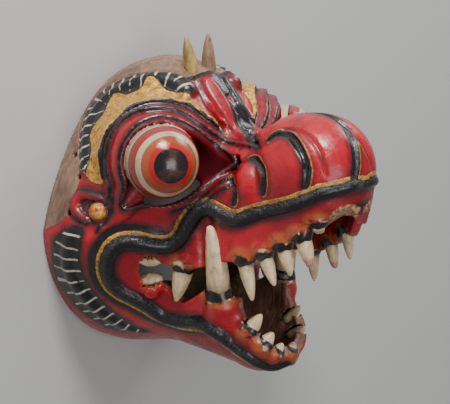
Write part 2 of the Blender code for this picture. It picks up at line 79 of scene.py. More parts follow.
VIEW_TURN = math.radians(50)
VIEW_RISE = math.radians(11)
VIEW_DISTANCE = 1250.0
VIEW_TARGET = np.array([0.0, 19.4, 91.1])
VIEW_CENTRE = np.array([225.0, 202.0])
VIEW_SCALE = 1.39
IMAGE_WIDTH = 450
TO_VIEWER = np.array([
    -math.sin(VIEW_TURN) * math.cos(VIEW_RISE),
    math.sin(VIEW_RISE),
    math.cos(VIEW_TURN) * math.cos(VIEW_RISE),
])
VIEW_RIGHT = np.array([math.cos(VIEW_TURN), 0.0, math.sin(VIEW_TURN)])
VIEW_UP = np.cross(TO_VIEWER, VIEW_RIGHT)

EYE_CENTRE = np.array([-68.0, 57.6, 92.0])
GAZE = np.array([-0.538, 0.044, 0.841]) / np.linalg.norm([-0.538, 0.044, 0.841])
STUD_RADIUS = 6.5
STUD_RING = 7.8
JAW_SLOPE = 0.433
NOWHERE = 50.0
MOUTH_TOP = 42
BLUNT_END = 1.9
TUFT_PITCH = 9.6
WHISKER_COUNT = 13

# Lines of the carving and of the paint, as points of the three-quarter view.
UPPER_LIP = (
    (374, 185), (357, 185), (345, 188), (331, 191), (320, 194), (310, 198), (300, 202), (289, 206),
    (278, 209), (267, 211), (256, 214), (245, 218), (236, 220.5), (226, 218), (217, 213), (208, 208.5),
    (197, 212), (188, 225), (180, 239), (168, 246), (152, 246), (136, 243), (122, 244), (112, 251),
    (107, 264), (109, 278), (118, 290), (135, 299), (149, 307), (162, 316), (178, 321), (197, 322),
    (213, 331), (230, 343), (246, 355), (260, 364), (274, 367), (288, 362),
)
LID_LINE = (
    (236, 160), (226, 153), (215, 146), (204, 137), (194, 130), (183, 124), (173, 120), (159, 118),
    (141, 124), (127, 139), (121, 155), (121, 169), (125, 186), (121, 202), (126, 210), (150, 204),
    (178, 201), (200, 190), (222, 173), (236, 163),
)
MIDDLE_RIDGE = (
    (235, 144), (221, 139), (208, 132), (197, 124), (187, 117), (177, 112), (166, 110), (150, 110),
    (131, 115), (116, 129), (109, 146), (107, 160), (108, 172), (111, 183), (110, 194),
)
OUTER_RIDGE = (
    (227, 137), (217, 128), (208, 121), (197, 113), (187, 107), (176, 104), (166, 103), (150, 103),
    (131, 110), (116, 124), (106, 139), (103, 153), (103, 174), (103, 184),
)
GOLD_EDGE = (
    (229, 137), (214, 122), (200, 108), (189, 97), (178, 94), (166, 90), (158, 83), (150, 80), (140, 89),
    (128, 95), (119, 93), (112, 96), (107, 106), (103, 115), (95, 124), (90, 136), (92, 148), (90, 160),
    (86, 174), (92, 182), (101, 185),
)
TUFT_EDGE = (
    (193, 94), (184, 80), (173, 75), (159, 73), (138, 74), (119, 80), (103, 90), (89, 107), (81, 129),
    (79, 146), (80, 167), (86, 174),
)
TUFT_MIDDLE = (
    (187, 90), (175, 82), (160, 79), (144, 80), (128, 85), (112, 92), (99, 104), (89, 121), (85, 138),
    (84, 154), (84, 168),
)
WHISKER_OUTER = (
    (65, 228), (54, 239), (52, 253), (53, 267), (58, 282), (68, 296), (82, 312), (99, 323), (119, 331),
    (138, 332),
)
WHISKER_STROKES = (
    (71, 214), (68, 228), (66, 240), (66, 253), (69, 267), (74, 282), (83, 295), (95, 307), (109, 318),
    (126, 327), (144, 331),
)
WHISKER_INNER = (
    (82, 226), (83, 236), (81, 250), (81, 264), (86, 278), (95, 291), (107, 305), (121, 316), (138, 327),
    (150, 331),
)
EAR_ROLL = ((102, 200), (95, 197), (87, 195), (80, 197), (76, 203), (76, 210), (80, 216), (87, 220))
EAR_RIM = (
    (104, 196), (98, 193), (91, 191), (84, 190), (78, 192), (73, 198), (71, 206), (73, 214), (79, 220),
    (87, 224),
)
EAR_FOLD = ((93, 204), (88, 203), (84, 206), (84, 211))
EAR_CURVE = ((112, 199), (113, 206), (111, 214), (106, 221), (101, 224))
EAR_STUD = (98, 212)
EYE_CORNERS = ((238, 163), (124, 207))
EYE_SLIT_LINE = ((148, 201), (160, 203), (175, 200), (188, 193), (198, 184))
SLIT_WAY = np.array([-0.68, 0.14, 0.72])
LASHING_HOLES = ((75, 155), (79, 177), (69, 213))
LOWER_LIDS = (
    ((172, 212), (190, 205), (206, 195), (222, 182), (238, 169)),
    ((188, 209), (199, 205), (216, 195), (234, 180)),
)
UPPER_GUM = (
    (136, 270), (136, 261), (150, 261), (165, 265), (180, 269), (198, 269), (210, 264), (232, 262),
    (240, 266), (248, 263), (252, 257), (260, 260), (267, 253), (272, 248), (280, 251), (286, 245),
    (292, 237), (299, 242), (305, 234), (311, 224), (318, 228), (326, 221), (333, 215), (341, 211),
    (349, 211), (354, 219), (363, 221),
)
LOWER_GUM = (
    (288, 357), (275, 355), (262, 347), (250, 335), (243, 325), (237, 312), (233, 300), (219, 299),
    (205, 298), (202, 291), (194, 297), (183, 303), (175, 300), (168, 291), (160, 285), (150, 284),
    (140, 281),
)
RIDGE_LEFT = ((195, 82), (205, 102), (222, 130), (240, 150))
RIDGE_SHADE = ((199, 82), (199, 89), (203, 97))
CAP = ((186, 81), (194, 77.5), (202, 74), (211, 72), (219, 74))
RIDGE_RIGHT = ((222, 74), (236, 100), (250, 126), (258, 146))
BULB = (
    (200, 80), (208, 77), (216, 82), (224, 93), (232, 107), (240, 122), (247, 134), (246, 139),
    (238, 138), (229, 130), (219, 116), (209, 101), (202, 89),
)
RIDGE_BAND = (
    (212, 76), (221, 74), (231, 87), (241, 106), (250, 120), (257, 136), (262, 147), (254, 150),
    (244, 134), (235, 115), (226, 98), (217, 84),
)
STRIPES = (
    (((229, 178), (233, 182), (235, 192), (234, 204)), 2.2),
    (((248, 159), (256, 160), (262, 169), (264, 181), (263, 193)), 2.9),
    (((268, 142), (278, 135), (288, 134.5), (297, 144), (304, 158), (307, 172), (305, 186)), 3.1),
    (((308, 111), (321, 112), (335, 117), (346, 127), (353, 142), (356, 158), (354, 178)), 3.6),
)
FAR_STRIPE = ((366, 130), (373, 142), (377, 158), (377, 174))
CREASE = ((284, 130), (300, 131), (313, 141), (321, 155), (326, 175))
RAW_EDGE = (
    (224, 66), (219, 72), (211, 69.5), (203, 71), (195, 75), (188, 78), (184, 79), (173, 73), (159, 71),
    (138, 72), (119, 78), (102, 88), (88, 105), (79, 128), (77, 146), (78, 168), (76, 188), (69, 200),
    (66, 212), (58, 222), (40, 230), (10, 230), (10, 10), (214, 10),
)
OUTER_BAND = (
    ((190, 224), 0), ((172, 240), 2.5), ((150, 246), 4.5), ((120, 245), 5.5), ((107, 264), 6),
    ((118, 290), 5), ((149, 307), 4), ((178, 321), 2.2), ((213, 331), 0),
)
BETWEEN_HORNS = (201, 66)
BITE_ARC = ((354, 209), (358, 205.5), (363, 205.5), (367, 209.5))
BITE = (
    (326, 222), (332, 213), (342, 205), (352, 204), (360, 207), (369, 210), (369, 228), (352, 228),
    (340, 218),
)
PAINTED_LINES = (
    (RIDGE_SHADE, 0.9), (CAP, 1.8), (EAR_CURVE, 1.6), (EAR_RIM, 1.3), (EAR_FOLD, 1), (BITE_ARC, 1.2),
    *((line, 1.0) for line in LOWER_LIDS),
)

RIGHT_TEETH = (
    ("upper_molar_right", (151, 258), (151, 265), 5.4, 4.4, 1.7),
    ("upper_fang_right", (182, 267), (173.5, 303), 7.4, 1.2, 1.0),
    ("upper_tooth_right_1", (241, 261), (249, 302), 5.6, 1.0, 1.0),
    ("upper_tooth_right_2", (261, 256), (271, 287), 5.3, 1.1, 1.0),
    ("upper_tooth_right_3", (280, 247), (287.5, 277), 5.5, 1.1, 1.0),
    ("upper_tooth_right_4", (300, 238), (307.5, 267), 5.7, 2.3, 1.0),
    ("upper_tooth_right_5", (318, 224), (319, 233), 4.8, 3.6, 1.0),
    ("lower_molar_right", (151, 284), (150, 277), 5.4, 4.4, 1.7),
    ("lower_tooth_right_1", (248, 331), (259, 316), 5.6, 1.0, 1.0),
    ("lower_tooth_right_2", (265, 346), (273, 335), 5.2, 1.6, 1.0),
    ("lower_tooth_right_3", (279, 354), (285, 346), 4.0, 1.6, 1.0),
    ("lower_tooth_right_4", (297, 353), (299, 344), 3.8, 1.8, 1.0),
)
LEFT_TEETH = (
    ("upper_tooth_left_1", (318, 250), (319.5, 280), 4.8, 1.0, 1.0),
    ("upper_tooth_left_2", (336, 240), (340, 266), 4.6, 2.0, 1.0),
    ("upper_tooth_left_3", (351, 226), (355, 258), 4.8, 1.0, 1.0),
    ("lower_tooth_left_1", (291, 320), (304, 304), 4.2, 1.0, 1.0),
    ("lower_tooth_left_2", (296, 336), (309, 325), 4.8, 1.0, 1.0),
)
MIRRORED_TEETH = ("upper_molar", "upper_fang", "lower_molar")
PINK_TIPS = ("upper_tooth_right_4", "upper_tooth_right_5", "upper_tooth_left_2", "lower_tooth_right_4")
TUSK = ((-36, -37, 116), (-48, 12, 118), 8.4, 2.6)
HORN_BASE = (-9, 112, 68)
HORN_TIP = (-12, 136, 65)


def unit(vector):
    vector = np.asarray(vector, float)
    return vector / np.linalg.norm(vector)


def lengths(vectors):
    return np.linalg.norm(vectors, axis=1)


def legs(path):
    """The length of each leg of a path."""
    return lengths(np.diff(path, axis=0))


def smooth_path(points, spacing=4.0):
    """The points joined by a Catmull-Rom curve and spread evenly along it."""
    points = np.asarray(points, float)
    ends = np.vstack([2 * points[0] - points[1], points, 2 * points[-1] - points[-2]])
    t = np.linspace(0, 1, 8, endpoint=False)[:, None]
    pieces = []
    for before, start, end, after in zip(ends, ends[1:], ends[2:], ends[3:]):
        pieces.append(0.5 * (
            2 * start + (end - before) * t + (2 * before - 5 * start + 4 * end - after) * t ** 2
            + (3 * start - before - 3 * end + after) * t ** 3
        ))
    curve = np.vstack(pieces + [points[-1:]])
    run = np.append(0, np.cumsum(legs(curve)))
    even = np.linspace(0, run[-1], max(3, int(round(run[-1] / spacing)) + 1))
    return np.column_stack([np.interp(even, run, curve[:, axis]) for axis in range(points.shape[1])])


# Fields. Each takes points as rows and gives how far outside a form they lie, negative within it.

def ellipsoid(p, centre, radii, lean=0.0):
    q = p - np.asarray(centre, float)
    if lean:
        y = q[:, 1] * math.cos(lean) + q[:, 2] * math.sin(lean)
        z = q[:, 2] * math.cos(lean) - q[:, 1] * math.sin(lean)
        q = np.column_stack([q[:, 0], y, z])
    radii = np.asarray(radii, float)
    near = lengths(q / radii)
    slope = lengths(q / radii ** 2)
    return near * (near - 1) / np.maximum(slope, 1e-6)


def ball(p, centre, radius):
    return lengths(p - np.asarray(centre, float)) - radius


def taper(p, start, end, start_radius, end_radius):
    start, end = (np.asarray(v, float) for v in (start, end))
    way = end - start
    q = p - start
    share = np.clip(q @ way / (way @ way), 0, 1)
    return lengths(q - share[:, None] * way) - (start_radius + (end_radius - start_radius) * share)


def in_outline(points, outline):
    """Whether points lie inside a closed outline, both in two dimensions."""
    inside = np.zeros(len(points), bool)
    for start, end in zip(outline, np.roll(outline, -1, axis=0)):
        crosses = (start[1] > points[:, 1]) != (end[1] > points[:, 1])
        rise = end[1] - start[1]
        if rise:
            at = start[0] + (points[:, 1] - start[1]) * (end[0] - start[0]) / rise
            inside ^= crosses & (points[:, 0] < at)
    return inside


def prism(p, outline):
    """An outline drawn in z and y and carried right across the mask."""
    points = p[:, [2, 1]]
    gap = np.full(len(p), 1e6)
    for start, end in zip(outline, np.roll(outline, -1, axis=0)):
        way = end - start
        off = points - start
        share = np.clip(off @ way / (way @ way), 0, 1)
        gap = np.minimum(gap, ((off - share[:, None] * way) ** 2).sum(1))
    return np.where(in_outline(points, outline), -1, 1) * np.sqrt(gap)


def nearest(p, path, reach=1e3, across=None):
    """How far points lie from a path, and how far along it the nearest place is.

    With a direction across the path at each of its points, the distance is the part along that, with a sign.
    """
    gap = np.full(len(p), float(reach))
    along = np.zeros(len(p))
    close = np.flatnonzero(((p > path.min(0) - reach) & (p < path.max(0) + reach)).all(1))
    q = p[close]
    best, value, where = gap[close], gap[close], along[close]
    run = 0.0
    for place, (start, end) in enumerate(zip(path, path[1:])):
        way = end - start
        length = np.linalg.norm(way)
        share = np.clip((q - start) @ way / (length * length), 0, 1)
        off = q - start - share[:, None] * way
        far = lengths(off)
        better = far < best
        best[better] = far[better]
        where[better] = run + share[better] * length
        if across is not None:
            turned = across[place] + share[better, None] * (across[place + 1] - across[place])
            value[better] = (off[better] * turned).sum(1)
        run += length
    gap[close] = best if across is None else value
    along[close] = where
    return gap, along


def moulding(p, path, radius, reach=9.0):
    """A bar along a path, with one radius, or three for start, middle and end, or one for each point."""
    if np.ndim(radius) == 0 or len(radius) == 3:
        radius = np.interp(np.linspace(0, 2, len(path)), (0, 1, 2), np.broadcast_to(radius, 3))
    field = np.full(len(p), 1e3)
    margin = radius.max() + reach
    close = np.flatnonzero(((p > path.min(0) - margin) & (p < path.max(0) + margin)).all(1))
    for start, end, r0, r1 in zip(path, path[1:], radius, radius[1:]):
        nearby = close[((p[close] > np.minimum(start, end) - margin)
                        & (p[close] < np.maximum(start, end) + margin)).all(1)]
        if len(nearby):
            field[nearby] = np.minimum(field[nearby], taper(p[nearby], start, end, r0, r1))
    return field


def join(a, b, soft):
    """Both forms together, with a fillet about soft wide."""
    share = np.clip(0.5 + 0.5 * (b - a) / soft, 0, 1)
    return b + (a - b) * share - soft * share * (1 - share)


def carve(a, b, soft):
    """The first form without the second."""
    return -join(-a, b, soft)


def slope_of(field, p, step=0.4):
    rise = np.column_stack([field(p + step * axis) - field(p - step * axis) for axis in np.eye(3)])
    return rise / np.maximum(lengths(rise), 1e-9)[:, None]


def outward(point):
    """The way that the plain block faces at a point."""
    return slope_of(block, point[None])[0]


def eased(value, low, high):
    """0 below low, 1 above high and smooth between."""
    share = np.clip((value - low) / (high - low), 0, 1)
    return share * share * (3 - 2 * share)


def drawn_half(p):
    return np.column_stack([-np.abs(p[:, 0]), p[:, 1], p[:, 2]])


def head(p, wall=0.0):
    q = p.copy()
    q[:, 0] *= 1 + 0.0035 * np.clip(p[:, 1], 0, 100)
    return ellipsoid(q, (0, 14, 26), np.array([99, 110, 82]) - wall, math.radians(17))


def bridge(p, wall=0.0):
    forehead = taper(p, (0, 103, 76), (0, 62, 106), 8 - wall / 2, 13 - wall / 2)
    snout = taper(p, (0, 42, 100), (0, 50, 160), 29 - wall, 34 - wall)
    nose = ball(p, (0, 53, 176), 38.5 - wall)
    return join(join(forehead, snout, 8), nose, 6)


def folds(p):
    front = ellipsoid(p, (-19, 48, 163), (21.5, 24, 26))
    middle = ellipsoid(p, (-23, 41, 141), (21, 20, 17))
    back = ellipsoid(p, (-29, 34, 122), (17, 16, 14))
    return np.minimum.reduce([front, middle, back])


def upper_plan(p, wall=0.0):
    return taper(p * (1, 0, 1), (0, 0, 70), (0, 0, 174), 56 - wall, 35 - wall)


def lower_plan(p, wall=0.0):
    return taper(p * (1, 0, 1), (0, 0, 60), (0, 0, 127), 53 - wall, 33.5 - wall)


def upper_jaw(p):
    side = upper_plan(p, -0.5) + 15
    top = np.abs(p[:, 1] - 5) - 40 + 15
    return np.minimum(np.maximum(side, top), 0) + np.hypot(np.maximum(side, 0), np.maximum(top, 0)) - 15


def lower_jaw(p, wall=0.0):
    return taper(p, (0, -36, 60), (0, -65, 127), 53 - wall, 33.5 - wall)


def block(p):
    p = drawn_half(p)
    form = join(head(p), ball(p, (-45, 55, 65), 43), 14)
    form = join(form, bridge(p), 10)
    form = join(form, upper_jaw(p), 12)
    form = join(form, lower_jaw(p), 14)
    form = join(form, taper(p, (-33, -58, 114), (-34, -47, 117), 11, 11), 8)
    return join(form, folds(p), 3)


def nose_root(form, p):
    """The dip between the forehead and the snout, with the snout rising behind its tip."""
    form = join(form, ellipsoid(p, (0, 62, 158), (27, 26.5, 24)), 8)
    return carve(form, ellipsoid(p, (0, 86, 118), (22, 16, 15)), 6)


def seen_at(p):
    """Where points show on the three-quarter view."""
    off = p - VIEW_TARGET
    scale = VIEW_SCALE * VIEW_DISTANCE / (VIEW_DISTANCE - off @ TO_VIEWER)
    across, up = scale * (off @ VIEW_RIGHT), scale * (off @ VIEW_UP)
    return np.column_stack([VIEW_CENTRE[0] + across, VIEW_CENTRE[1] - up])


def sight(points):
    points = (np.asarray(points, float) - VIEW_CENTRE) / VIEW_SCALE
    eye = VIEW_TARGET + TO_VIEWER * VIEW_DISTANCE
    through = VIEW_TARGET + points[:, :1] * VIEW_RIGHT - points[:, 1:] * VIEW_UP
    ways = through - eye
    return eye, ways / lengths(ways)[:, None]


def landed(points, field, far=False):
    """Points of the view brought onto a form, or to where their line of sight passes closest to it."""
    eye, ways = sight(points)
    reach = np.arange(VIEW_DISTANCE - 190, VIEW_DISTANCE + 150, 0.5)
    found = []
    for way in ways:
        line = eye + reach[:, None] * way
        depth = field(line)
        inside = np.flatnonzero(depth < 0)
        found.append(line[inside[-1 if far else 0] if len(inside) else depth.argmin()])
    return np.array(found)


def carved_path(points, sink=0.0, spacing=4.0):
    path = smooth_path(landed(points, block), spacing)
    path[:, 0] = np.minimum(path[:, 0], 0)
    return path - sink * slope_of(block, path)


class Edge:
    """A line on the drawn half with a side: distances are positive on the side away from the eye."""

    def __init__(self, points):
        self.path = carved_path(points, 0.0, 3.0)
        way = np.gradient(self.path, axis=0)
        self.across = np.cross(slope_of(block, self.path), way)
        self.across /= lengths(self.across)[:, None]
        middle = self.path[len(self.path) // 2]
        if self.across[len(self.path) // 2] @ (middle - EYE_CENTRE) < 0:
            self.across = -self.across
        self.length = legs(self.path).sum()

    def signed(self, q, reach=30.0):
        return nearest(q, self.path, reach, self.across)

    def ends(self, along, width):
        """How near the ends of the line a place is: 0 at them and 1 from width inwards."""
        return eased(np.minimum(along, self.length - along), 0, width)


class Patch:
    """A closed area of the drawn half, or of the whole front: distances are negative inside it."""

    def __init__(self, points, across=False):
        closed = tuple(points) + (points[0],)
        self.path = smooth_path(landed(closed, block)) if across else carved_path(closed)
        self.outline = seen_at(self.path)

    def signed(self, q, reach=40.0):
        gap, along = nearest(q, self.path, reach)
        inside = in_outline(seen_at(q), self.outline)
        return np.where(inside, -gap, gap), along


def mirrored(name, sizes):
    """The peg on the other side of the mask."""
    flip = np.array([-1, 1, 1])
    other = dict(sizes, base=sizes["base"] * flip, tip=sizes["tip"] * flip, bow=-sizes.get("bow", 0.0))
    return name.replace("right", "left"), other


def root_radius(sizes):
    return sizes["radius"] * max(sizes.get("wide", 1.0), 1.0) ** 0.6


def tooth_rows():
    """Every tooth and horn as its name and the sizes of its peg."""
    rows = []
    for far, teeth in ((False, RIGHT_TEETH), (True, LEFT_TEETH)):
        for name, base, tip, radius, blunt, wide in teeth:
            point = landed([base], block, far)[0]
            out = unit(outward(point) * (1, 0, 1))
            depth = TO_VIEWER @ (VIEW_TARGET - point) + VIEW_DISTANCE
            across, down = (np.array(tip) - base) * depth / VIEW_DISTANCE / VIEW_SCALE
            point = point - out * TOOTH_INSET
            along = across * VIEW_RIGHT - down * VIEW_UP
            along = along - TO_VIEWER * (along @ out) / (TO_VIEWER @ out)
            rows.append((name, dict(
                base=point, tip=point + along, radius=radius, blunt=blunt, wide=wide, root=TOOTH_ROOT
            )))
    base, tip, radius, blunt = (np.array(v, float) if np.ndim(v) else v for v in TUSK)
    tusk = dict(base=base, tip=tip, radius=radius, blunt=blunt, bow=1.0, root=TOOTH_ROOT)
    base = np.array(HORN_BASE, float)
    tip = base + unit(np.array(HORN_TIP) - base) * HORN_LENGTH
    horn = dict(base=base, tip=tip, radius=HORN_RADIUS, blunt=0.8, root=HORN_PEG)
    rows += [mirrored(*pair) for pair in rows if pair[0].replace("_right", "") in MIRRORED_TEETH]
    for pair in ("lower_tusk_right", tusk), ("horn_right", horn):
        rows += [pair, mirrored(*pair)]
    return rows


ROWS = tooth_rows()
LIP = carved_path(UPPER_LIP, 1.0)
LIP_TURNS = (0, 22, 40, len(LIP) - 20, len(LIP))
LIP_RADIUS = np.interp(np.arange(len(LIP)), LIP_TURNS, (3.6, 4.2, 5.4, 5.4, 3.8))
LID = Edge(LID_LINE)
SECOND = Edge(MIDDLE_RIDGE)
THIRD = Edge(OUTER_RIDGE)
GOLD_RIM = Edge(GOLD_EDGE)
GOLD = Patch(OUTER_RIDGE + tuple(reversed(GOLD_EDGE)))
TUFT = Patch(GOLD_EDGE[3:19] + tuple(reversed(TUFT_EDGE)))
WHISKERS = Patch(WHISKER_OUTER + tuple(reversed(WHISKER_INNER)))
WHISKER_PATH = carved_path((np.array(WHISKER_OUTER) + WHISKER_INNER) / 2)
TUFT_PATH = carved_path(TUFT_EDGE)
BULB_PATCH = Patch(BULB)
BAND_PATCH = Patch(RIDGE_BAND, True)
STUD = landed([EAR_STUD], block)[0]


def carving():
    """The field of the whole mask in full relief."""
    tuft_middle = carved_path(TUFT_MIDDLE, 2.5)
    whiskers = WHISKER_PATH - 5.0 * slope_of(block, WHISKER_PATH)
    ear = carved_path(EAR_ROLL, 0.5)
    creases = [(carved_path(line, -0.3), (0.8, width * 0.9, 0.8)) for line, width in STRIPES]
    creases += [(carved_path(line, -0.5), (1, 2.2, 1)) for line in (RIDGE_LEFT, RIDGE_RIGHT, CREASE)]
    lids = [carved_path(line, 0.3) for line in LOWER_LIDS]
    mouth_line = landed(UPPER_GUM + LOWER_GUM, block)[:, [2, 1]]
    front = [(240, mouth_line[len(UPPER_GUM) - 1, 1]), (240, mouth_line[len(UPPER_GUM), 1] - 12)]
    mouth = np.insert(mouth_line, len(UPPER_GUM), front, axis=0)
    inner_corner, outer_corner = landed(EYE_CORNERS, block)
    outer_corner = outer_corner + 3 * outward(outer_corner)
    slit = smooth_path(landed(EYE_SLIT_LINE, block))
    holes = [(point, -outward(point)) for point in landed(LASHING_HOLES, block)]

    def steps(q):
        """How far the brow stands out: three treads, each with a raised front edge over a riser."""
        height = np.zeros(len(q))
        close = np.flatnonzero((nearest(q, THIRD.path, 30)[0] < 30) & (np.abs(block(q)) < 14))
        if not len(close):
            return height
        p = q[close]
        first, second = LID.signed(p)[0], SECOND.signed(p)[0]
        third, along = THIRD.signed(p)
        ends = THIRD.ends(along, 14)

        def tread(inner, outer):
            wide = np.maximum(inner - outer, 0.1)
            share = np.clip(inner / wide, 0, 1)
            return (2.6 - 3.8 * share) * eased(wide, 1.5, 6)

        past_second = eased(second, -1.6, 0.9)
        past_third = eased(third, -1.6, 0.9)
        rise = tread(first, second) * (1 - past_second)
        rise += tread(second, third) * past_second * (1 - past_third)
        rise += 2.2 * (1 - np.clip(third / 9, 0, 1)) * past_third * ends
        rise *= eased(first, -0.8, 1.2)
        outer, run = GOLD_RIM.signed(p)
        leaf = 1.0 + 0.6 * np.cos(run * 2 * math.pi / 8.5) * eased(-outer, -1, 3)
        height[close] = rise + leaf * eased(third, -0.8, 1.4) * (1 - eased(outer, -1.6, 0.8)) * ends
        return height

    def relief(q):
        form = nose_root(block(q), q) - steps(q)
        form = join(form, moulding(q, tuft_middle, (8.5, 4.2, 4.2)), 2)
        form = join(form, moulding(q, whiskers, (6, 8, 6)), 2)
        form = form - 2.6 * (1 - eased(BULB_PATCH.signed(q, 12)[0], -5, 0.5))
        socket = taper(q, EYE_CENTRE + 7 * GAZE, inner_corner - 1.5 * GAZE, EYE_RADIUS + 3.5, 5)
        socket = join(socket, taper(q, EYE_CENTRE + 14 * GAZE, outer_corner, EYE_RADIUS - 1.5, 3.5), 3)
        form = carve(form, socket, 1.5)
        form = join(form, moulding(q, LID.path, 1.6), 1)
        for path in lids:
            form = join(form, moulding(q, path, (0.6, 1.5, 0.6)), 1)
        for path, radius in creases:
            form = carve(form, moulding(q, path, radius), 1.2)
        form = carve(form, taper(q, (-53, 16, 114), (-49, -16, 117), 8, 9), 4)
        form = join(form, moulding(q, LIP, LIP_RADIUS), 1.5)
        form = join(form, moulding(q, ear, (3, 5, 3.5)), 1)
        form = join(form, ball(q, STUD, STUD_RADIUS), 0.5)
        return np.minimum(form, ball(q, EYE_CENTRE, EYE_RADIUS))

    def hollow(q):
        space = head(q, WALL)
        space = join(space, taper(q, (0, 34, 70), (0, 44, 150), 32, 22), 10)
        space = join(space, taper(q, EYE_CENTRE, (-44, 46, 52), EYE_RADIUS - WALL, EYE_RADIUS - WALL / 2), 4)
        palate = np.maximum(upper_plan(q, WALL), q[:, 1] - 38)
        over_trough = np.maximum(-36 - JAW_SLOPE * (q[:, 2] - 60) - q[:, 1], q[:, 1] + 16)
        trough = np.minimum(lower_jaw(q, WALL), np.maximum(lower_plan(q, WALL), over_trough))
        throat = np.minimum(np.maximum(palate, -q[:, 1] - 20), trough)
        return join(space, throat, 5)

    def field(p):
        q = drawn_half(p)
        form = carve(relief(q), hollow(q), 2)
        hang = q.copy()
        hang[:, 1] += 7 * np.clip((p[:, 0] + 5) / 35, 0, 1) * np.clip((q[:, 1] + 30) / 20, 0, 1)
        form = carve(form, prism(hang, mouth), 1.2)
        for name, sizes in ROWS:
            if "horn" in name:
                continue
            base, tip, radius = sizes["base"], sizes["tip"], root_radius(sizes)
            near = np.flatnonzero((np.abs(p - base) < radius + 16).all(1))
            if len(near):
                way = unit(tip - base)
                gum = taper(p[near], base - 4 * way, base - 0.5 * way, radius + 0.6, radius + 1.1)
                form[near] = join(form[near], gum, 3)
                if "molar" in name or "lower_tooth_left" in name:
                    ring = taper(p[near], base + 0.5 * way, base + 10 * way, radius + 0.3, radius + 0.9)
                    form[near] = carve(form[near], ring, 0.8)
        form = np.maximum(form, -q[:, 2])
        for point in slit:
            ends = point + 12 * SLIT_WAY, point - 34 * SLIT_WAY
            form = carve(form, taper(q, *ends, EYE_SLIT / 2, EYE_SLIT / 2), 0.5)
        for point, way in holes:
            form = np.maximum(form, -taper(q, point - 12 * way, point + 22 * way, HOLE_RADIUS, HOLE_RADIUS))
        return form

    return field, relief


def meshed(field, low, high, step):
    """Corners and four-sided faces of the skin where the field passes through nothing.

    Only blocks of the grid that lie close to the skin are filled in cell by cell.
    """
    low = np.asarray(low, float)
    blocks = np.ceil((np.asarray(high) - low) / (BLOCK_CELLS * step)).astype(int)
    size = blocks * BLOCK_CELLS + 1
    centres = np.stack(np.meshgrid(*[np.arange(n) for n in blocks], indexing="ij"), -1).reshape(-1, 3)
    rough = field(low + (centres * BLOCK_CELLS + BLOCK_CELLS // 2) * step)
    values = rough.reshape(blocks)
    for axis in range(3):
        values = np.repeat(values, BLOCK_CELLS, axis)
    values = np.pad(values, ((0, 1), (0, 1), (0, 1)), mode="edge")
    corners = np.array(list(itertools.product(range(BLOCK_CELLS + 1), repeat=3)))
    near = centres[np.abs(rough) < BLOCK_CELLS * step * 1.25 + 1.5]
    wanted = np.zeros(size, bool)
    nodes = (near[:, None] * BLOCK_CELLS + corners[None]).reshape(-1, 3)
    wanted[nodes[:, 0], nodes[:, 1], nodes[:, 2]] = True
    nodes = np.argwhere(wanted)
    values[wanted] = field(low + nodes * step)
    inside = values < 0
    inside[[0, -1]] = inside[:, [0, -1]] = inside[:, :, [0, -1]] = False
    values = np.where(inside, -np.abs(values) - 1e-6, np.abs(values) + 1e-6)
    cell_sum = np.zeros(tuple(size - 1) + (3,))
    cell_count = np.zeros(size - 1, int)
    crossings = []
    for axis in range(3):
        a = np.delete(values, -1, axis)
        b = np.delete(values, 0, axis)
        edge = np.argwhere((a < 0) != (b < 0))
        va = a[edge[:, 0], edge[:, 1], edge[:, 2]]
        vb = b[edge[:, 0], edge[:, 1], edge[:, 2]]
        place = edge.astype(float)
        place[:, axis] += np.clip(va / (va - vb), 0.05, 0.95)
        u, v = [other for other in range(3) if other != axis]
        ring = []
        for du, dv in ((0, 0), (-1, 0), (-1, -1), (0, -1)):
            cell = edge.copy()
            cell[:, u] += du
            cell[:, v] += dv
            np.add.at(cell_sum, tuple(cell.T), place)
            np.add.at(cell_count, tuple(cell.T), 1)
            ring.append(cell)
        crossings.append((np.stack(ring, 1), (va < 0) != (axis == 1)))
    number = np.full(size - 1, -1)
    used = np.argwhere(cell_count > 0)
    number[tuple(used.T)] = np.arange(len(used))
    points = low + step * cell_sum[tuple(used.T)] / cell_count[tuple(used.T)][:, None]
    faces = []
    for ring, forward in crossings:
        quads = number[ring[..., 0], ring[..., 1], ring[..., 2]]
        faces.append(np.where(forward[:, None], quads, quads[:, ::-1]))
    points, faces = largest_part(points, np.vstack(faces))
    for _ in range(2):
        value = field(points)
        points = points - np.clip(value, -step / 3, step / 3)[:, None] * slope_of(field, points)
    return points, faces


def largest_part(points, faces):
    """The skin without specks that float free of it."""
    label = np.arange(len(points))
    changed = True
    while changed:
        before = label.copy()
        lowest = label[faces].min(1)
        for corner in range(4):
            np.minimum.at(label, faces[:, corner], lowest)
        label = label[label]
        changed = (label != before).any()
    faces = faces[label[faces[:, 0]] == np.bincount(label).argmax()]
    kept, faces = np.unique(faces, return_inverse=True)
    return points[kept], faces.reshape(-1, 4)


def noise(p, size, seed=0):
    """Smooth noise from -1 to 1 with lumps about size across."""
    q = p / size + 17.3 * seed
    cell = np.floor(q).astype(np.int64)
    share = q - cell
    share = share * share * (3 - 2 * share)
    total = np.zeros(len(p))
    for corner in itertools.product((0, 1), repeat=3):
        at = cell + corner
        code = at[:, 0] * 374761393 + at[:, 1] * 668265263 + at[:, 2] * 2147483647 + seed * 1274126177
        code &= 0xFFFFFFFF
        code = ((code ^ (code >> 13)) * 1274126177) & 0xFFFFFFFF
        value = ((code ^ (code >> 16)) & 0xFFFF) / 32767.5 - 1
        weight = np.prod(np.where(corner, share, 1 - share), axis=1)
        total += value * weight
    return total


# Materials.

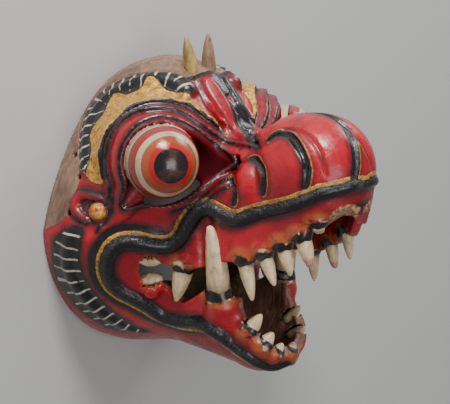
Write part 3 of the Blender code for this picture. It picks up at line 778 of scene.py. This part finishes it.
class Shade:
    """A material built up in layers of colour, roughness and metal over a Principled shader."""

    def __init__(self, name, coat=0.0, coat_roughness=0.15):
        self.material = bpy.data.materials.new(name)
        self.material.use_nodes = True
        self.tree = self.material.node_tree
        self.shader = self.tree.nodes["Principled BSDF"]
        self.shader.inputs["Coat Weight"].default_value = coat
        self.shader.inputs["Coat Roughness"].default_value = coat_roughness
        self.place = self.tree.nodes.new("ShaderNodeTexCoord").outputs["Object"]

    def node(self, kind, settings=None, values=(), **links):
        """A new node. Values go to its first sockets in order, and links to its sockets by name."""
        made = self.tree.nodes.new(kind)
        for key, value in (settings or {}).items():
            setattr(made, key, value)
        for socket, value in zip(made.inputs, values):
            self.feed(socket, value)
        for key, value in links.items():
            self.feed(made.inputs[key], value)
        return made

    def feed(self, socket, value):
        if isinstance(value, bpy.types.NodeSocket):
            self.tree.links.new(value, socket)
        elif hasattr(value, "__len__") and len(value) == 3 and len(socket.default_value) == 4:
            socket.default_value = (*value, 1)
        else:
            socket.default_value = value

    def field(self, name):
        return self.node("ShaderNodeAttribute", dict(attribute_name=name)).outputs["Fac"]

    def math(self, operation, a, b=0.0):
        return self.node("ShaderNodeMath", dict(operation=operation), (a, b)).outputs[0]

    def times(self, a, b):
        return self.math("MULTIPLY", a, b)

    def swing(self, value, size):
        """A noise turned into a swing about 0."""
        return self.times(self.math("SUBTRACT", value, 0.5), size)

    def span(self, value, low, high, bottom=0.0, top=1.0):
        """Bottom where value is under low, top where it is over high, and smooth between."""
        settings = dict(interpolation_type="SMOOTHSTEP")
        return self.node("ShaderNodeMapRange", settings, (value, low, high, bottom, top)).outputs[0]

    def noise(self, scale, detail=4.0, roughness=0.55, stretch=None, distortion=0.0):
        place = self.place
        if stretch:
            place = self.node("ShaderNodeMapping", Vector=place, Scale=stretch).outputs[0]
        return self.node("ShaderNodeTexNoise", Vector=place, Scale=scale, Detail=detail, Roughness=roughness,
                         Distortion=distortion).outputs["Fac"]

    def mix(self, share, a, b, kind="RGBA", first=6, result=2):
        """Colour a, with colour b over it by share."""
        made = self.node("ShaderNodeMix", dict(data_type=kind), (share,))
        self.feed(made.inputs[first], a)
        self.feed(made.inputs[first + 1], b)
        return made.outputs[result]

    def blend(self, share, a, b):
        """The same for two numbers."""
        return self.mix(share, a, b, "FLOAT", 2, 0)

    def finish(self, colour, roughness, metal=None, bumps=()):
        self.feed(self.shader.inputs["Base Color"], colour)
        self.feed(self.shader.inputs["Roughness"], roughness)
        if metal is not None:
            self.feed(self.shader.inputs["Metallic"], metal)
        normal = {}
        for height, distance in bumps:
            made = self.node("ShaderNodeBump", Height=height, Distance=distance, Strength=1.0, **normal)
            normal = dict(Normal=made.outputs["Normal"])
        self.feed(self.shader.inputs["Normal"], normal["Normal"])
        return self.material


def wood_colours(shade):
    """Colour and height of dry brown wood with its grain along the face."""
    grain = shade.noise(260, 6, 0.6, (1, 0.09, 1), 0.4)
    streak = shade.noise(60, 4, 0.6, (1, 0.15, 1), 1.5)
    blotch = shade.noise(28, 4, 0.6)
    colour = shade.mix(shade.span(grain, 0.3, 0.7), (0.105, 0.052, 0.029), (0.270, 0.155, 0.090))
    colour = shade.mix(shade.span(streak, 0.35, 0.75, 0.0, 0.7), colour, (0.34, 0.215, 0.140))
    colour = shade.mix(shade.span(blotch, 0.45, 0.8, 0.0, 0.65), colour, (0.055, 0.030, 0.022))
    return colour, grain


def mask_material():
    shade = Shade("painted_wood", 0.22, 0.18)
    mix, span, blend, field, times = shade.mix, shade.span, shade.blend, shade.field, shade.times
    broad = shade.noise(22, 4, 0.6)
    patch = shade.noise(85, 5, 0.6, None, 0.6)
    fine = shade.noise(420, 4, 0.6)
    speck = shade.noise(950, 3, 0.6)
    wobble = shade.swing(shade.noise(170, 3, 0.5), 1.6)

    def loose(name):
        return shade.math("ADD", field(name), wobble)

    black = loose("black")
    lip = loose("lip")
    edge = field("edge")

    red = mix(span(broad, 0.3, 0.7), (0.25, 0.002, 0.009), (0.46, 0.003, 0.013))
    red = mix(span(patch, 0.48, 0.78, 0.0, 0.6), red, (0.16, 0.002, 0.006))
    # Painted highlight: a lighter red on the crests of the carving.
    red = mix(span(edge, 0.2, 0.9, 0.0, 0.5), red, (0.50, 0.012, 0.018))
    near = shade.math("ADD", black, shade.swing(broad, 3.0))
    red = mix(span(near, 0.3, 5.0, 0.85, 0.0), red, (0.075, 0.003, 0.006))
    shadow = field("shade")
    red = mix(times(shadow, 0.96), red, (0.022, 0.001, 0.002))
    # Painted shade: a darker red in the creases of the carving.
    crease_shade = span(shade.math("ADD", edge, shade.swing(patch, 0.5)), -0.75, -0.15, 0.85, 0.0)
    red = mix(crease_shade, red, (0.06, 0.006, 0.009))
    scuff = times(span(speck, 0.66, 0.74), span(patch, 0.45, 0.7))
    red = mix(times(scuff, 0.7), red, (0.10, 0.02, 0.016))
    rough = span(shade.math("ADD", fine, patch), 0.75, 1.3, 0.25, 0.46)
    rough = blend(shadow, rough, 0.8)
    shade.feed(shade.shader.inputs["Coat Weight"], span(shadow, 0.0, 0.6, 0.22, 0.0))
    shade.feed(shade.shader.inputs["Specular IOR Level"], span(shadow, 0.0, 0.6, 0.5, 0.05))

    orange = times(span(loose("gum"), 1.5, 7.0, 0.75, 0.0), span(patch, 0.40, 0.56))
    colour = mix(orange, red, (0.42, 0.095, 0.022))

    wood, grain = wood_colours(shade)
    bare = span(loose("wood"), -0.4, 0.5, 1.0, 0.0)
    colour = mix(bare, colour, wood)
    rough = blend(bare, rough, 0.78)

    inner = span(loose("mouth"), -0.6, 1.4, 1.0, 0.0)
    dark = mix(span(patch, 0.35, 0.7), (0.20, 0.085, 0.058), (0.36, 0.185, 0.125))
    dark = mix(span(grain, 0.4, 0.75, 0.0, 0.6), dark, (0.26, 0.135, 0.085))
    colour = mix(inner, colour, dark)
    rough = blend(inner, rough, 0.6)

    leaf = mix(span(fine, 0.32, 0.62), (0.42, 0.17, 0.016), (0.90, 0.48, 0.065))
    leaf = mix(span(patch, 0.58, 0.78, 0.0, 0.75), leaf, (0.26, 0.095, 0.025))
    # Painted shade: a darker gold in the creases of the carving.
    leaf = mix(span(edge, -0.6, 0.1, 0.7, 0.0), leaf, (0.10, 0.045, 0.022))
    band = span(loose("gold"), -0.3, 0.4, 1.0, 0.0)
    line = times(span(lip, 1.9, 2.5, 1.0, 0.0), span(field("side"), -0.1, 0.1))
    stripe_line = times(span(loose("stripe"), 0.7, 1.3, 0.42, 0.0), span(field("stripe_side"), -0.1, 0.1))
    gilt = shade.math("MAXIMUM", band, shade.math("MAXIMUM", line, stripe_line))
    colour = mix(gilt, colour, leaf)
    rough = blend(gilt, rough, span(patch, 0.3, 0.8, 0.28, 0.5))
    metal = times(gilt, 0.4)

    ink = mix(span(patch, 0.45, 0.8), (0.004, 0.004, 0.005), (0.016, 0.015, 0.018))
    # Grey on the crests of the black paint: rubbed wear together with a painted sheen.
    ink = mix(times(span(edge, 0.35, 1.0), span(patch, 0.42, 0.62)), ink, (0.10, 0.095, 0.105))
    cover = span(black, -0.25, 0.3, 1.0, 0.0)
    colour = mix(cover, colour, ink)
    rough = blend(cover, rough, span(fine, 0.3, 0.7, 0.22, 0.40))
    metal = blend(cover, metal, 0.0)

    strokes = span(field("cream"), -0.25, 0.25, 1.0, 0.0)
    pale = mix(span(patch, 0.35, 0.75), (0.60, 0.53, 0.40), (0.36, 0.29, 0.20))
    worn = times(strokes, span(patch, 0.72, 0.6, 0.0, 1.0))
    colour = mix(worn, colour, pale)
    chips = span(loose("chips"), -0.2, 0.4, 0.85, 0.0)
    colour = mix(chips, colour, (0.52, 0.40, 0.28))
    splinter = span(loose("bite"), -0.4, 0.4, 1.0, 0.0)
    broken = mix(span(fine, 0.38, 0.62), (0.16, 0.045, 0.020), (0.55, 0.31, 0.13))
    broken = mix(span(speck, 0.60, 0.68, 0.0, 0.8), broken, (0.72, 0.56, 0.38))
    colour = mix(splinter, colour, broken)
    rough = blend(splinter, rough, 0.75)

    turn = shade.math("ADD", field("eye_turn"), times(wobble, 0.7))
    ring = shade.node("ShaderNodeValToRGB", Fac=shade.math("DIVIDE", turn, 180.0))
    ring.color_ramp.interpolation = "CONSTANT"
    bands = (
        (0.0, (0.010, 0.010, 0.012)), (28.0, (0.46, 0.012, 0.014)), (36.0, (0.33, 0.070, 0.018)),
        (49.5, (0.50, 0.40, 0.26)), (60.5, (0.30, 0.016, 0.012)), (77.0, (0.045, 0.008, 0.008)),
        (80.0, (0.48, 0.38, 0.25)),
    )
    while len(ring.color_ramp.elements) < len(bands):
        ring.color_ramp.elements.new(0.99)
    for element, (angle, tint) in zip(ring.color_ramp.elements, bands):
        element.position = angle / 180
        element.color = (*tint, 1)
    iris = mix(span(patch, 0.4, 0.75, 0.0, 0.45), ring.outputs["Color"], (0.16, 0.06, 0.035))
    iris = mix(span(speck, 0.62, 0.72, 0.0, 0.35), iris, (0.10, 0.05, 0.03))
    on_eye = span(field("eye_gap"), 0.35, 0.7, 1.0, 0.0)
    colour = mix(on_eye, colour, iris)
    rough = blend(on_eye, rough, 0.10)
    metal = blend(on_eye, metal, 0.0)

    tooling = times(shade.noise(330, 5, 0.7, None, 1.2), gilt)
    return shade.finish(colour, rough, metal, (
        (shade.noise(70, 3, 0.5), 0.0006), (fine, 0.00022), (times(grain, bare), 0.0012),
        (tooling, 0.0011), (speck, 0.00006),
    ))


def tooth_material(name, pink=False):
    shade = Shade(name, 0.25, 0.2)
    grain = shade.noise(420, 5, 0.6, (1, 0.2, 1))
    stain = shade.noise(130, 5, 0.65)
    colour = shade.mix(shade.span(grain, 0.3, 0.7), (0.86, 0.67, 0.41), (0.64, 0.45, 0.24))
    colour = shade.mix(shade.span(stain, 0.5, 0.75, 0.0, 0.7), colour, (0.30, 0.20, 0.11))
    base = shade.math("ADD", shade.field("along"), shade.swing(stain, 0.35))
    colour = shade.mix(shade.span(base, 0.02, 0.32, 0.85, 0.0), colour, (0.16, 0.085, 0.045))
    if pink:
        colour = shade.mix(shade.span(base, 0.70, 0.86, 0.0, 0.9), colour, (0.55, 0.22, 0.19))
    rough = shade.span(stain, 0.3, 0.7, 0.32, 0.55)
    return shade.finish(colour, rough, None, ((grain, 0.0005), (stain, 0.0008)))


def horn_material(name, low, high, worn):
    shade = Shade(name, 0.1, 0.3)
    grain = shade.noise(300, 6, 0.6, (1, 0.12, 1), 0.5)
    patch = shade.noise(120, 4, 0.6)
    colour = shade.mix(shade.span(grain, 0.3, 0.7), low, high)
    colour = shade.mix(shade.span(patch, 0.5, 0.75, 0.0, 0.7), colour, worn)
    rough = shade.span(patch, 0.3, 0.7, 0.42, 0.7)
    return shade.finish(colour, rough, None, ((grain, 0.0012), (patch, 0.0006)))


# Pieces.

def row(points):
    return (np.asarray(points) - MIDDLE) * UNIT


def placed(name, data):
    obj = bpy.data.objects.new(name, data)
    bpy.context.scene.collection.objects.link(obj)
    return obj


def piece(name, points, faces, material, node, slot):
    mesh = bpy.data.meshes.new(name)
    mesh.from_pydata(row(points).tolist(), [], [tuple(int(i) for i in face) for face in faces])
    mesh.update()
    mesh.shade_smooth()
    mesh.materials.append(material)
    obj = placed(name, mesh)
    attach(obj, "root")
    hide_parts(node)
    return obj


def lay(obj, **fields):
    """Stores each field on the points of the piece, for its material to read."""
    for name, values in fields.items():
        layer = obj.data.attributes.new(name, "FLOAT", "POINT")
        layer.data.foreach_set("value", np.asarray(values, np.float32))


def thinned(points, faces, inner, target):
    """The skin with fewer faces, most of them taken from the inside."""
    mesh = bpy.data.meshes.new("skin")
    mesh.from_pydata(points.tolist(), [], faces.tolist())
    obj = placed("skin", mesh)
    group = obj.vertex_groups.new(name="inner")
    group.add(np.flatnonzero(inner).tolist(), 1.0, "REPLACE")
    group.add(np.flatnonzero(~inner).tolist(), 0.12, "REPLACE")
    change = obj.modifiers.new("fewer", "DECIMATE")
    change.ratio = min(1.0, target / (2 * len(faces)))
    change.vertex_group = "inner"
    change.vertex_group_factor = 1.0
    change.use_collapse_triangulate = True
    bpy.context.view_layer.update()
    changed = obj.evaluated_get(bpy.context.evaluated_depsgraph_get())
    result = changed.to_mesh()
    out = np.empty(len(result.vertices) * 3)
    result.vertices.foreach_get("co", out)
    polygons = [tuple(face.vertices) for face in result.polygons]
    changed.to_mesh_clear()
    bpy.data.objects.remove(obj)
    bpy.data.meshes.remove(mesh)
    return out.reshape(-1, 3), polygons


def spaced(along, pitch):
    """How far places on a path are from the nearest of the strokes spread evenly along it."""
    return np.abs((along / pitch) % 1 - 0.5) * pitch


def bend_of(points, faces):
    """How far each corner stands out from its neighbours, positive on crests and negative in creases."""
    tri = np.array([face for face in faces if len(face) == 3])
    normal = np.cross(points[tri[:, 1]] - points[tri[:, 0]], points[tri[:, 2]] - points[tri[:, 0]])
    facing = np.zeros_like(points)
    for corner in tri.T:
        np.add.at(facing, corner, normal)
    facing /= np.maximum(lengths(facing), 1e-9)[:, None]
    start, end = tri[:, [0, 1, 1, 2, 2, 0, 1, 0, 2, 1, 0, 2]].reshape(-1, 2).T
    count = np.maximum(np.bincount(start, minlength=len(points)), 1)
    around = np.column_stack([np.bincount(start, column[end], len(points)) for column in points.T])
    bend = ((points - around / count[:, None]) * facing).sum(1) * BEND_GAIN
    for _ in range(2):
        bend = 0.4 * bend + 0.6 * np.bincount(start, bend[end], len(points)) / count
    return bend, facing


def mask():
    """The carved mask, with the distances to its painted lines and patches stored on its points."""
    field, relief = carving()
    points, faces = meshed(field, (-106, -112, -4), (106, 130, 232), GRID_STEP)
    points[:, 2] = np.maximum(points[:, 2], 0)
    inner = relief(drawn_half(points)) < -2.2
    points, faces = thinned(points, faces, inner, MASK_TRIANGLES)
    bend, facing = bend_of(points, faces)
    q = drawn_half(points)
    skin = relief(q)
    free = eased(points[:, 2], 0.2, 3)
    inside = eased(-skin, 1.5, 3.5)
    chisel = np.maximum(noise(points, 7.0, 3), -0.2) * 0.5 + noise(points, 3.0, 5) * 0.15
    wear = noise(points, 5.0, 7) * 0.10 + noise(points, 2.2, 9) * 0.03
    eyeball = np.abs(ball(q, EYE_CENTRE, EYE_RADIUS)) < 0.5
    points = points + facing * ((chisel * inside + wear * (1 - inside)) * free * ~eyeball)[:, None]

    # The foot of each point is the nearest place on the plain block, where the lines were drawn.
    foot = q - block(q)[:, None] * slope_of(block, q)
    foot = foot - block(foot)[:, None] * slope_of(block, foot)
    outside = skin > -2.8
    mirror = np.where(points[:, :1] > 0, (-1, 1, 1), (1, 1, 1))
    hidden = (facing * mirror) @ TO_VIEWER < -0.15
    unseen = hidden * NOWHERE
    away = np.where(outside, 0.0, NOWHERE)
    flat = seen_at(q)

    lip = moulding(q, LIP, LIP_RADIUS, 30)
    lip_patch = np.vstack([seen_at(LIP), [(330, 300)]])
    lip_side = np.where(in_outline(flat, lip_patch), -1.0, 1.0) * np.clip(nearest(q, LIP, 20)[0], 0, 5)
    first = LID.signed(foot)[0]
    second, along_second = SECOND.signed(foot)
    third, along_third = THIRD.signed(foot)
    gold, tuft, whisker = (patch.signed(foot)[0] + unseen for patch in (GOLD, TUFT, WHISKERS))
    stripe = np.full(len(q), NOWHERE)
    stripe_side = np.zeros(len(q))
    for line, width in STRIPES:
        path = carved_path(line)
        gap, along = nearest(foot, path, 25)
        if line is STRIPES[-1][0]:
            far_path = landed(FAR_STRIPE, block)
            gap = np.where(points[:, 0] > 4, nearest(points, far_path, 25)[0], gap)
        this = gap - width * eased(np.minimum(along + 4, legs(path).sum() - along + 6), 0, 8)
        shifted = nearest(foot + 0.8 * VIEW_RIGHT, path, 25)[0]
        better = this < stripe
        stripe = np.where(better, this, stripe)
        stripe_side = np.where(better, np.clip((shifted - gap) * 4, -1, 1), stripe_side)
    stud = ball(q, STUD, STUD_RADIUS)
    lip_along = nearest(q, LIP, 30)[1]
    turns = nearest(landed([spot for spot, _ in OUTER_BAND], block), LIP, 40)[1]
    lip_reach = np.interp(lip_along, turns, [width for _, width in OUTER_BAND])
    lip_band = np.where(lip_side > 0, np.maximum(3.1 - lip, lip - 3.1 - lip_reach), 9.0) + 0.3
    lip_band = np.where(lip_reach > 0.4, lip_band, 9.0)
    teeth = np.full(len(q), NOWHERE)
    for name, sizes in ROWS:
        if "horn" not in name:
            way = unit(sizes["tip"] - sizes["base"])
            wide = root_radius(sizes)
            slim = 0.0 if "upper_tooth" in name or "tusk" in name else 5.5 if "molar" in name else 1.0
            reach = taper(points, sizes["base"] + way, sizes["base"] + 10 * way, wide, wide) + slim
            teeth = np.minimum(teeth, reach)

    black = np.minimum.reduce([
        lip - 0.7, tuft, whisker, stripe, lip_band,
        np.abs(first) - 0.95,
        np.maximum(np.abs(second - 0.3) - 1.0, -along_second + 0.5),
        np.abs(third - 0.1) - 1.1 + 1.6 * (1 - THIRD.ends(along_third, 6)),
        BAND_PATCH.signed(foot * mirror)[0] + unseen,
        np.abs(ball(foot, STUD, STUD_RING)) - 1.1,
        *(nearest(foot, carved_path(line), 20)[0] - half for line, half in PAINTED_LINES),
    ])
    black = np.where(stud < 0.7, 5.0, black)
    lip_run = np.append(0, np.cumsum(legs(LIP)))
    under = (lip_along < 40) & (q[:, 1] < np.interp(lip_along, lip_run, LIP[:, 1]))
    lip_side = np.where(under | (lip_along > turns[-1] + 38), -1.0, lip_side)
    black = np.minimum(black + away, teeth - 2.3)
    strokes = carved_path(WHISKER_STROKES)
    dash = spaced(nearest(foot, strokes, 40)[1], legs(strokes).sum() / WHISKER_COUNT) - 0.8
    tuft_gap, tuft_along = nearest(foot, TUFT_PATH, 40)
    stroke = spaced(tuft_along, TUFT_PITCH) - 1.15 + 0.045 * np.minimum(tuft_gap, 14)
    cream = np.minimum(np.maximum(dash, whisker + 2.0), np.maximum(stroke, tuft + 1.3))
    cream = np.minimum(cream, tuft_gap - 0.35)
    raw = Patch(RAW_EDGE)
    gap = np.minimum(nearest(foot, raw.path, 20)[0], 20)
    wood = np.where(in_outline(flat, raw.outline), -gap, gap) - 1.4
    wood = np.where(hidden & (points[:, 1] > 45) & (q[:, 2] < 95), -5.0, wood)
    wood = np.where(lengths(flat - BETWEEN_HORNS) < 7, -5.0, wood)
    wood = np.maximum(wood, -tuft)
    bite = Patch(BITE).signed(foot, 12)[0]
    palate = (q[:, 2] > 95) & (q[:, 1] > -28) & (q[:, 1] < MOUTH_TOP)
    wood = np.where((skin < -2.5) & ~palate, -5.0, wood)
    mouth = np.where((skin < -1.8) & (q[:, 2] > 70) & (q[:, 1] < MOUTH_TOP) & ~palate, -3.0, 3.0)

    body = piece("mask", points, faces, mask_material(), "mask_body", "painted_wood")
    eye = ball(q, EYE_CENTRE, EYE_RADIUS)
    straight = (q - EYE_CENTRE) @ GAZE / np.maximum(eye + EYE_RADIUS, 1e-6)
    lay(
        body, black=black, lip=lip - 0.7 + away, side=lip_side, gold=np.minimum(gold, stud) + away,
        stripe=stripe + away, stripe_side=stripe_side, cream=cream + away, wood=wood, mouth=mouth,
        gum=teeth - 2.4, bite=bite, edge=np.clip(bend * 1.6, -1, 1),
        chips=np.maximum(np.abs(teeth - 2.7) - 0.35, 1.1 - noise(points, 3.0, 11) * 3),
        shade=eased(-first, 0.5, 5) * eased(flat[:, 0], 165, 200) * (eye > 0.4) * outside,
        eye_gap=eye + np.where(skin < -2, 5.0, 0.0),
        eye_turn=np.degrees(np.arccos(np.clip(straight, -1, 1))),
    )


def peg_piece(name, sizes, material, slot):
    """A tooth or horn with an uneven, hand-cut surface."""
    sides = 28
    rings = 26
    base, tip, radius, blunt = (sizes[key] for key in ("base", "tip", "radius", "blunt"))
    wide, bow, root = sizes.get("wide", 1.0), sizes.get("bow", 0.0), sizes["root"]
    way = unit(tip - base)
    side = unit(np.cross(way, TO_VIEWER))
    other = np.cross(way, side)
    length = np.linalg.norm(tip - base)
    seed = sum(ord(letter) * (place + 1) for place, letter in enumerate(name)) % 97
    angles = np.arange(sides) * 2 * math.pi / sides
    points = []
    along = []
    for ring in range(rings + 1):
        share = -root / length + (1 + root / length) * ring / rings
        reach = max(share, 0.0)
        if "molar" in name:
            width = radius * (1 - 0.25 * max(0, (share - 0.55) / 0.45) ** 2)
        elif blunt > BLUNT_END:
            width = radius + (blunt - radius) * reach ** 2.4
        else:
            width = blunt + (radius - blunt) * (1 - min(reach, 1.0) ** 2.0) ** 0.85
        if share < 0:
            width *= 1 + 0.6 * share * length / root
        centre = base + way * share * length + side * bow * math.sin(math.pi * reach)
        cut = 1 + 0.035 * np.cos(3 * angles + seed) + 0.02 * np.cos(5 * angles + 2 * seed)
        if "molar" in name:
            cut = cut * (1 - 0.16 * np.cos(angles * 2 + math.pi) * np.abs(np.sin(angles)) * (reach > 0.2))
        around = wide * np.outer(np.cos(angles) * cut, side) + np.outer(np.sin(angles) * cut, other)
        points.append(centre + width * around)
        along += [share] * sides
    points = np.vstack(points)
    points += (noise(points, 3.2, seed) * 0.22 * (np.array(along) > 0))[:, None] * side
    if blunt > BLUNT_END:
        end = points[-sides:]
        end += way * (noise(end, 1.7, seed + 3) * 0.8)[:, None]
    cap = points[-sides:].mean(0)
    inner = cap + (points[-sides:] - cap) * 0.55 + way * blunt * 0.35
    points = np.vstack([points, inner, cap + way * blunt * 0.5])
    along += [1.0] * (sides + 1)
    faces = [tuple(reversed(range(sides)))]
    for ring in range(rings + 1):
        for turn in range(sides):
            a = ring * sides + turn
            b = ring * sides + (turn + 1) % sides
            faces.append((a, b, b + sides, a + sides))
    top = (rings + 1) * sides
    faces += [(top + turn, top + (turn + 1) % sides, len(points) - 1) for turn in range(sides)]
    lay(piece(name + "_piece", points, faces, material, name, slot), along=along)


mask()
TOOTH = tooth_material("tooth_cream")
BROKEN = tooth_material("tooth_broken", True)
GILT = horn_material("horn_gilt", (0.22, 0.12, 0.030), (0.50, 0.34, 0.10), (0.12, 0.06, 0.02))
BARE = horn_material("horn_bare", (0.11, 0.060, 0.032), (0.26, 0.150, 0.080), (0.06, 0.032, 0.02))
HORNS = {"horn_right": (GILT, "gilded_wood"), "horn_left": (BARE, "bare_wood")}
for tooth_name, tooth_sizes in ROWS:
    finish = (BROKEN if tooth_name in PINK_TIPS else TOOTH, "tooth")
    peg_piece(tooth_name, tooth_sizes, *HORNS.get(tooth_name, finish))


# The floor, the light and the camera.

def floor():
    mesh = bpy.data.meshes.new("floor")
    mesh.from_pydata([(-6, -6, 0), (6, -6, 0), (6, 6, 0), (-6, 6, 0)], [], [(0, 1, 2, 3)])
    shade = Shade("floor_paper")
    grain = shade.noise(900, 3, 0.5)
    broad = shade.noise(2.0, 2, 0.5)
    colour = shade.mix(shade.span(grain, 0.3, 0.7, 0.0, 0.06), (0.52, 0.515, 0.50), (0.44, 0.44, 0.43))
    colour = shade.mix(shade.span(broad, 0.3, 0.7, 0.0, 0.15), colour, (0.46, 0.46, 0.45))
    mesh.materials.append(shade.finish(colour, 0.85, None, ((grain, 0.0001),)))
    placed("floor", mesh)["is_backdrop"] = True


def softbox(name, way, distance, size, power):
    lamp = bpy.data.lights.new(name, "AREA")
    lamp.shape = "RECTANGLE"
    lamp.size, lamp.size_y = size
    lamp.energy = power
    obj = placed(name, lamp)
    target = Vector(row(VIEW_TARGET))
    obj.location = target + Vector(unit(way)) * distance
    obj.rotation_euler = (target - obj.location).to_track_quat("-Z", "Y").to_euler()


floor()
softbox("key_light", 0.78 * VIEW_UP + 0.62 * TO_VIEWER + 0.02 * VIEW_RIGHT, 1.5, (0.45, 0.45), 30)
softbox("fill_light", 0.45 * VIEW_RIGHT + 0.85 * TO_VIEWER - 0.15 * VIEW_UP, 1.9, (0.9, 0.9), 11)
softbox("top_light", 0.9 * VIEW_UP - 0.2 * TO_VIEWER + 0.7 * VIEW_RIGHT, 1.5, (0.5, 0.7), 9)

world = bpy.data.worlds.new("studio")
bpy.context.scene.world = world
world.use_nodes = True
world.node_tree.nodes["Background"].inputs["Color"].default_value = (0.95, 0.97, 1.0, 1)
world.node_tree.nodes["Background"].inputs["Strength"].default_value = 0.30

lens = bpy.data.cameras.new("camera")
lens.sensor_width = 36
lens.lens = lens.sensor_width * VIEW_SCALE * VIEW_DISTANCE / IMAGE_WIDTH
lens.clip_end = 30
camera = placed("camera", lens)
place = row(VIEW_TARGET) + TO_VIEWER * VIEW_DISTANCE * UNIT
axes = np.column_stack([VIEW_RIGHT, VIEW_UP, TO_VIEWER, place])
camera.matrix_world = Matrix([*axes.tolist(), (0, 0, 0, 1)])
bpy.context.scene.camera = camera

bpy.context.view_layer.update()
boxes = {"cad": CAD_BOX, "visual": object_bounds()}
{name: [list(corner) for corner in box] for name, box in boxes.items()}
